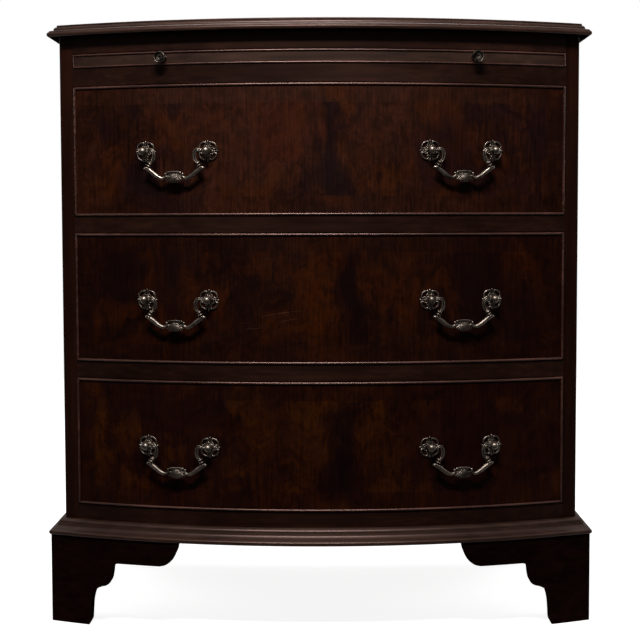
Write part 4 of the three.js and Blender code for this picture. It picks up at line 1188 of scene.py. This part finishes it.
def mark_hollows(mesh, deepest, least=0.0):
    """Stores how deep each point lies in a hollow of the casting, for the dirt in its material; least lays a
    painted shade on every point.
    """
    smoothings = 6
    bm = bmesh.new()
    bm.from_mesh(mesh)
    bm.normal_update()
    layer = bm.verts.layers.float.new("hollow")
    depth = {}
    for vert in bm.verts:
        around = [edge.other_vert(vert).co for edge in vert.link_edges]
        middle = sum(around, Vector()) / max(len(around), 1)
        depth[vert.index] = (middle - vert.co).dot(vert.normal)
    for _ in range(smoothings):
        depth = {
            vert.index: (depth[vert.index] + sum(depth[e.other_vert(vert).index] for e in vert.link_edges))
            / (len(vert.link_edges) + 1)
            for vert in bm.verts
        }
    for vert in bm.verts:
        vert[layer] = min(1.0, max(least, depth[vert.index] / deepest))
    bm.to_mesh(mesh)
    bm.free()
    shade(mesh, 60)
    return mesh


def scroll_path(radius, steps):
    """A C scroll, wider than it is deep: most of a ring, whose two ends curl inwards."""
    path = []
    for step in range(steps + 1):
        share = 2 * step / steps - 1
        turn = math.radians(90 + SCROLL_SWEEP * share)
        curl = max(0.0, abs(share) - 0.55) / 0.45
        near = radius * (1 - 0.5 * curl**1.6)
        thick = SCROLL_THICK - SCROLL_THINS * curl + (SCROLL_TIP if curl > 0.93 else 0.0)
        path.append((near * math.cos(turn) * SCROLL_WIDE, near * math.sin(turn) * SCROLL_LONG, thick))
    return path


def rosette_mesh(shape, fan, brass):
    """The pierced rosette with its boss, post and ball, cast in one, and the stem and nut behind."""
    scroll = tube(scroll_path(shape.scroll / MM, 30), sides=12, flat=0.9)
    petals = []
    for degrees, radii in PETALS.items():
        turn = math.radians(degrees)
        path = [(out * math.sin(turn), out * math.cos(turn), thick) for out, thick in radii]
        petals.append(cast("petal", tube(path, sides=12, flat=0.8), brass, at=(0, PLATE_DEPTH, 0)))
    leaf = cast("leaf", tube(LEAF, sides=8, flat=0.7), brass, at=(0, PLATE_DEPTH + 0.1, 0))
    parts = []
    for name, mesh, count, first in (
        ("scrolls", cast("scroll", scroll, brass, at=(0, PLATE_DEPTH, SCROLL_PLACE)), 4, 0.0),
        ("buds", joined("bud", petals), 4, -WHOLE_TURN / 8),
        ("leaves", leaf, 12, 0.0),
    ):
        parts.append(grown(fan, name, mesh, brass, {
            "Count": count, "First turn": first, "Whole turn": WHOLE_TURN, "Across": 1.0, "Along": 1.0,
        }))
    ball = ball_profile(shape.ball / MM, shape.standoff / MM, 36, 8)
    parts.append(cast("boss", turned([*BOSS, *ball]), brass))
    casting = mark_hollows(fused("rosette", parts, shape.voxel, brass, 3), 0.02 * MM)
    stem = cast("stem", turned(STEM, 20), brass)
    nut = cast("nut", turned(NUT, 6), brass, degrees=20)
    return joined("rosette_and_stem", [casting, stem, nut], 60)


def shell_parts(shape, fan, brass):
    """The shell in the middle of the bail: a plate, a rolled top and proud ribs like a fan."""
    tall, wide = shape.shell_height / MM, shape.shell_width / MM
    top = tall - shape.drop / MM
    half_round = [math.pi * step / 12 for step in range(13)]
    outline = []
    for step in range(SHELL_STEPS + 1):
        turn = SHELL_SPREAD * PLATE_SPREAD_SHARE * (step / SHELL_STEPS - 0.5)
        reach = PLATE_SHARE / math.hypot(math.sin(turn) / RIBS_ACROSS, math.cos(turn) / tall)
        outline.append((reach * math.sin(turn), -reach * math.cos(turn)))
    outline += [(wide * LIP_SHARE * math.cos(a), LIP_RISE * math.sin(a)) for a in half_round]
    plate = []
    for share, y in PLATE_LOOPS:
        middle = top - PLATE_DROP * (1 - share)
        plate.append([Vector((x * share, y, middle + z * share)) for x, z in outline])
    roll = []
    for a in half_round:
        z, radius = top + ROLL_LIFT + ROLL_RISE * math.sin(a), ROLL_RADIUS - ROLL_THINS * math.sin(a)
        roll.append((wide * ROLL_SHARE * math.cos(a), z, radius))
    rib = []
    for up, y, radius in RIB_PATH:
        rib.append([
            Vector((radius * math.cos(a), y + radius * math.sin(a) * RIB_PROUD_SHARE, up * RIB_LENGTH))
            for a in turns(RIB_SIDES)
        ])
    ribs = grown(fan, "ribs", cast("rib", rib, brass), brass, {
        "Count": shape.flutes, "First turn": math.pi - SHELL_SPREAD / 2, "Whole turn": SHELL_SPREAD,
        "Across": RIBS_ACROSS * MM, "Along": tall * MM,
    })
    ribs.transform(Matrix.Translation((0, 0, top * MM)))
    return [cast("shell", plate, brass), cast("roll", tube(roll), brass, at=(0, ROLL_OUT, 0)), ribs]


def bail_mesh(shape, half_span, fan, brass):
    """The swan neck bail: pins, curled arms, collars, bars and the fluted shell in the middle."""
    drop = shape.drop / MM

    def stations(shares, radius, steps=4):
        made = through(shares, steps)
        return [(-half_span * (1 - across), -drop * down, radius * thick) for across, down, thick in made]

    paths = [[(inward - half_span, 0, radius) for inward, radius in PIN_PATH]]
    paths += twinned(stations(ARM_PATH, shape.arm / MM))
    paths += [stations(COLLAR_PATH, COLLAR_RADIUS, 3), stations(BAR_PATH, shape.bar / MM)]
    parts = shell_parts(shape, fan, brass)
    for path in paths:
        for side in (1, -1):
            parts.append(cast("arm", tube([(side * x, z, radius) for x, z, radius in path]), brass))
    # A bead closes each bar where it curls up beside the shell.
    for side in SIDES.values():
        at = (side * BEAD_ACROSS_SHARE * half_span, BEAD_OUT, -BEAD_DOWN_SHARE * drop)
        parts.append(cast("bead", turned(ball_profile(BEAD_RADIUS, 0, 0, 15), 16), brass, at))
    # Behind the shell a bar joins both halves.
    link = tube([(x, -LINK_DOWN_SHARE * drop, LINK_RADIUS) for x in LINK_ACROSS])
    parts.append(cast("link", link, brass, at=(0, LINK_DEPTH, 0)))
    return mark_hollows(fused("bail", parts, shape.voxel, brass, 2), 0.018 * MM)


def knob_mesh(brass):
    """A turned knob with its stem, dull in its grooves and darkened all over by a painted shade."""
    profile = [*map(Vector, KNOB_STEM), *through(KNOB_HEAD, 3)]
    # Painted shade: every point of the knob is darkened at least this much, which dims its brass under the
    # lamp.
    return mark_hollows(cast("knob", turned(profile), brass, degrees=50), 0.025 * MM, 0.3)


def on_bow(name, mesh, brass, bow, count, turn, half_spread, height):
    """Brass set on the bow in pairs."""
    return grown(bow_tree(), name, mesh, brass, {
        "Count": count, "Radius": bow.radius, "Centre": bow.middle_y, "Middle turn": turn,
        "Half spread": half_spread, "Height": height,
    })


# Operators


def workshop(context):
    """What an operator works with: the sizes of the wood, the finishes and the bow."""
    scene = context.scene
    shape = scene.chest_shape
    return shape, make_finishes(scene.chest_finish), Bow(shape.bow, shape.bow_steps)


class CHEST_OT_carcase(bpy.types.Operator):
    """Make the top, the sides and the rails in fine wood"""

    bl_idname = "chest.carcase"
    bl_label = "Carcase"

    def execute(self, context):
        shape, finishes, bow = workshop(context)
        wooden("top_board", top_board(shape, bow, finishes))
        wooden_pair("side_panel", side_panel(shape, bow, finishes["side"]))
        for node in RAILS:
            wooden(node, bowed_rail(node, bow, shape.soft_edge, finishes["rail"]))
        return {"FINISHED"}


class CHEST_OT_base(bpy.types.Operator):
    """Make the base moulding and the bracket feet"""

    bl_idname = "chest.base"
    bl_label = "Base and feet"

    def execute(self, context):
        shape, finishes, bow = workshop(context)
        front, side = base_mouldings(shape, bow, finishes)
        wooden("base_moulding_front", front)
        wooden_pair("base_moulding", side)
        for stem, foot in feet(shape, bow, finishes["foot"]):
            wooden_pair(stem, foot)
        return {"FINISHED"}


class CHEST_OT_drawers(bpy.types.Operator):
    """Make the veneered drawer fronts and their cock beads"""

    bl_idname = "chest.drawers"
    bl_label = "Drawer fronts"

    def execute(self, context):
        shape, finishes, bow = workshop(context)
        bead_sizes = (shape.bead_width, shape.bead_proud, shape.bead_rebate - GAP)
        for drawer in DRAWERS:
            node, bead = drawer + "_front", drawer + "_cock_bead"
            low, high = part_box(node)
            reach = (high.x - shape.bead_width, (high.z - low.z) / 2 - shape.bead_width)
            veneer = veneered(f"mahogany_veneer_{drawer}", VENEERS[drawer], (low.z + high.z) / 2, reach)
            front = refined(node, bow, DRAWER_FRONT_LEVELS, veneer)
            piece(node + "_veneer", front, drawer, "figured_veneer", node)
            wooden(bead, bead_frame(bead, bow, *bead_sizes, finishes["bead"]), drawer, "bead_mahogany")
        return {"FINISHED"}


class CHEST_OT_slide(bpy.types.Operator):
    """Make the brushing slide with its bead and its two knobs"""

    bl_idname = "chest.slide"
    bl_label = "Brushing slide"

    def execute(self, context):
        _, finishes, bow = workshop(context)
        board = refined("slide_board", bow, SLIDE_LEVELS, finishes["slide"])
        wooden("slide_board", board, "brushing_slide")
        bead = bead_frame("slide_edge_bead", bow, *SLIDE_BEAD, finishes["bead"])
        wooden("slide_edge_bead", bead, "brushing_slide", "bead_mahogany")
        low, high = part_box("slide_knob_right")
        turn, height = bow.turn(KNOB_SHARE * HALF_WIDTH), (low.z + high.z) / 2
        brass = finishes["brass"]
        knobs = cleaned(on_bow("slide_knobs", knob_mesh(brass), brass, bow, 2, turn, 0.0, height), 50)
        nodes = [f"slide_knob_{side}" for side in SIDES]
        piece("slide_knobs_brass", knobs, "brushing_slide", "antique_brass", *nodes)
        return {"FINISHED"}


class CHEST_OT_handles(bpy.types.Operator):
    """Cast the rosettes and the bails, and hang them on the drawers"""

    bl_idname = "chest.handles"
    bl_label = "Handles"

    def execute(self, context):
        _, finishes, bow = workshop(context)
        shape, brass, fan = context.scene.handle_shape, finishes["brass"], fan_tree()
        post_turn = bow.turn(shape.posts / 2)
        half_span = (bow.radius + shape.standoff) * math.sin(post_turn)
        rosette = rosette_mesh(shape, fan, brass)
        bail = bail_mesh(shape, half_span / MM, fan, brass)
        for drawer in DRAWERS:
            prefix = drawer.split("_")[0]
            axis = BAIL_AXIS[f"{prefix}_right_bail"]
            turn = math.atan2(axis.x, bow.middle_y - axis.y)
            mounts = on_bow(drawer + "_rosettes", rosette, brass, bow, 4, turn, post_turn, axis.z)
            nodes = [f"{drawer}_{side}_rosette_{post}" for side in SIDES for post in SIDES]
            piece(drawer + "_rosettes_brass", cleaned(mounts, 60), drawer, "antique_brass", *nodes)
            for side, sign in SIDES.items():
                node, body = f"{drawer}_{side}_bail", f"{prefix}_{side}_bail"
                mesh = bail.copy()
                mesh.transform(Matrix.Translation(BAIL_AXIS[body]) @ Matrix.Rotation(sign * turn, 4, "Z"))
                piece(node + "_brass", mesh, body, "antique_brass", node)
        return {"FINISHED"}


class CHEST_OT_linings(bpy.types.Operator):
    """Give the drawers' insides, the dust boards and the back their wood"""

    bl_idname = "chest.linings"
    bl_label = "Inside and back"

    def execute(self, context):
        kinds = {
            "carcase_bottom": "plain", "dust_board_lower": "plain", "dust_board_upper": "plain",
            "dust_board_slide": "plain", "back_panel": "back",
        }
        for drawer in DRAWERS:
            kinds[drawer + "_side_left"] = kinds[drawer + "_side_right"] = "lining_y"
            kinds[drawer + "_bottom"] = kinds[drawer + "_back"] = "lining_x"
        finishes = make_finishes(context.scene.chest_finish)
        for node, key in kinds.items():
            for slot in frame["nodes"][node].material_slots:
                slot.material = finishes[key]
        return {"FINISHED"}


# Studio

# The camera, solved from the photograph: its side and focal length in pixels, its place and its turns.
IMAGE_SIDE, FOCAL = 640, 1508.0
EYE = (0.015, -2.2021, 0.548)
PITCH, ROLL, YAW = math.radians(3.798), math.radians(-0.149), math.radians(-0.410)
# The lamps: the property that gives their power, their place, what they shine at, and their size.
LAMPS = {
    "key": ("key", (-0.1, -1.25, 1.87), (0, -0.2, 0.45), (0.8, 0.16)),
    "fill_behind": ("fill", (0, 1.9, 2.7), (0, 0.25, 0.5), (1.6, 1.0)),
    "fill_left": ("fill", (-2.1, 0.9, 1.2), (-0.35, 0.1, 0.4), (1.0, 1.0)),
    "fill_right": ("fill", (2.1, 0.9, 1.2), (0.35, 0.1, 0.4), (1.0, 1.0)),
}
FLOOR_CORNERS = ((-2.5, -0.33, 0), (2.5, -0.33, 0), (2.5, 3, 0), (-2.5, 3, 0))
WHITE = (1, 1, 1, 1)


def set_camera(scene):
    """The camera that took the photograph."""
    camera = bpy.data.cameras.new("camera")
    camera.sensor_width = 36.0
    camera.lens = camera.sensor_width * FOCAL / IMAGE_SIDE
    camera.clip_end = 50.0
    scene.camera = linked("camera", camera)
    ahead = Vector((math.sin(YAW) * math.cos(PITCH), math.cos(YAW) * math.cos(PITCH), -math.sin(PITCH)))
    level = Vector((math.cos(YAW), -math.sin(YAW), 0))
    upright = level.cross(ahead)
    right = math.cos(ROLL) * level + math.sin(ROLL) * upright
    up = -math.sin(ROLL) * level + math.cos(ROLL) * upright
    turned_to = Matrix((right, up, -ahead)).transposed().to_4x4()
    scene.camera.matrix_world = Matrix.Translation(EYE) @ turned_to


def set_lamps(setup):
    """Soft lamps above the front, behind and on both sides."""
    for name, (power, place, aim, size) in LAMPS.items():
        lamp = bpy.data.lights.new(name, "AREA")
        lamp.shape = "RECTANGLE"
        lamp.size, lamp.size_y = size
        lamp.energy = getattr(setup, power)
        obj = linked(name, lamp)
        obj.location = place
        obj.rotation_euler = (Vector(aim) - Vector(place)).to_track_quat("-Z", "Y").to_euler()


def rays(tree):
    """One where the eye sees a thing straight, and one where it sees it in or through another."""
    path = add(tree, "ShaderNodeLightPath")
    mirrored = add(tree, MATH, path["Is Glossy Ray"], path["Is Transmission Ray"], operation="MAXIMUM")[0]
    return path["Is Camera Ray"], mirrored


def set_floor(setup):
    """A pale floor that shows white to the camera and keeps a soft shadow."""
    made, tree, shader = material("floor_paper_pale", Roughness=0.9, Specular_IOR_Level=0.0)
    shader.inputs["Base Color"].default_value = setup.floor
    shader.inputs["Emission Color"].default_value = WHITE
    # Near the chest the floor glows a little less than white, so that its shadow still shows.
    straight, mirrored = rays(tree)
    place = add(tree, "ShaderNodeTexCoord")["Object"]
    away = add(tree, "ShaderNodeVectorMath", place, operation="LENGTH")["Value"]
    near_white = add(tree, RANGE, away, 0.55, 1.1, 0.9, 1.0, **SMOOTH)[0]
    glow = weighted(tree, (straight, near_white), (mirrored, 0.05))
    tree.links.new(glow, shader.inputs["Emission Strength"])
    mesh = bpy.data.meshes.new("floor")
    mesh.from_pydata(FLOOR_CORNERS, [], [(0, 1, 2, 3)])
    mesh.materials.append(made)
    linked("floor", mesh)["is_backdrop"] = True


def set_surroundings(scene, setup):
    """White all round for the eye; reflections see a dim room that is lighter overhead."""
    scene.world = bpy.data.worlds.new("studio")
    scene.world.use_nodes = True
    tree = scene.world.node_tree
    tree.nodes.clear()
    straight, mirrored = rays(tree)
    way = add(tree, "ShaderNodeTexCoord")["Generated"]
    up = add(tree, "ShaderNodeSeparateXYZ", way)[2]
    room = add(tree, RANGE, up, -0.1, 0.9, 0.04, 0.3, **SMOOTH)[0]
    light = add(tree, MIX, inputs={0: mirrored, 2: setup.world, 3: room})[0]
    strength = add(tree, MIX, inputs={0: straight, 2: light, 3: 1.0})[0]
    add(tree, "ShaderNodeOutputWorld", add(tree, "ShaderNodeBackground", WHITE, strength)[0])


class CHEST_OT_studio(bpy.types.Operator):
    """Set the camera, the lamps, the floor and the background"""

    bl_idname = "chest.studio"
    bl_label = "Studio"

    def execute(self, context):
        scene = context.scene
        setup = scene.chest_studio
        set_camera(scene)
        set_lamps(setup)
        set_floor(setup)
        set_surroundings(scene, setup)
        scene.view_settings.view_transform = "Standard"
        return {"FINISHED"}


class CHEST_PT_panel(bpy.types.Panel):
    """Lists the pieces of the chest"""

    bl_idname = "CHEST_PT_panel"
    bl_label = "Chest of drawers"
    bl_space_type = "VIEW_3D"
    bl_region_type = "UI"
    bl_category = "Chest"

    def draw(self, context):
        for operator in OPERATORS:
            self.layout.operator(operator.bl_idname)
        for owner in GROUPS:
            box, group = self.layout.box(), getattr(context.scene, owner)
            for name in group.__annotations__:
                box.prop(group, name)


OPERATORS = (
    CHEST_OT_studio, CHEST_OT_carcase, CHEST_OT_base, CHEST_OT_drawers,
    CHEST_OT_slide, CHEST_OT_handles, CHEST_OT_linings,
)
GROUPS = {
    "chest_shape": ChestShape, "handle_shape": HandleShape,
    "chest_finish": ChestFinish, "chest_studio": StudioSetup,
}


def register():
    for kind in (*GROUPS.values(), *OPERATORS, CHEST_PT_panel):
        bpy.utils.register_class(kind)
    for name, kind in GROUPS.items():
        setattr(bpy.types.Scene, name, PointerProperty(type=kind))


def unregister():
    for name in GROUPS:
        delattr(bpy.types.Scene, name)
    for kind in reversed((*GROUPS.values(), *OPERATORS, CHEST_PT_panel)):
        bpy.utils.unregister_class(kind)


def main():
    register()
    bpy.ops.chest.studio()
    bpy.ops.chest.carcase()
    bpy.ops.chest.base()
    bpy.ops.chest.drawers()
    bpy.ops.chest.slide()
    bpy.ops.chest.handles()
    bpy.ops.chest.linings()
    boxes = {"cad": CAD_BOUNDS, "visual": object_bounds()}
    {name: [list(corner) for corner in box] for name, box in boxes.items()}


if __name__ == "__main__":
    main()
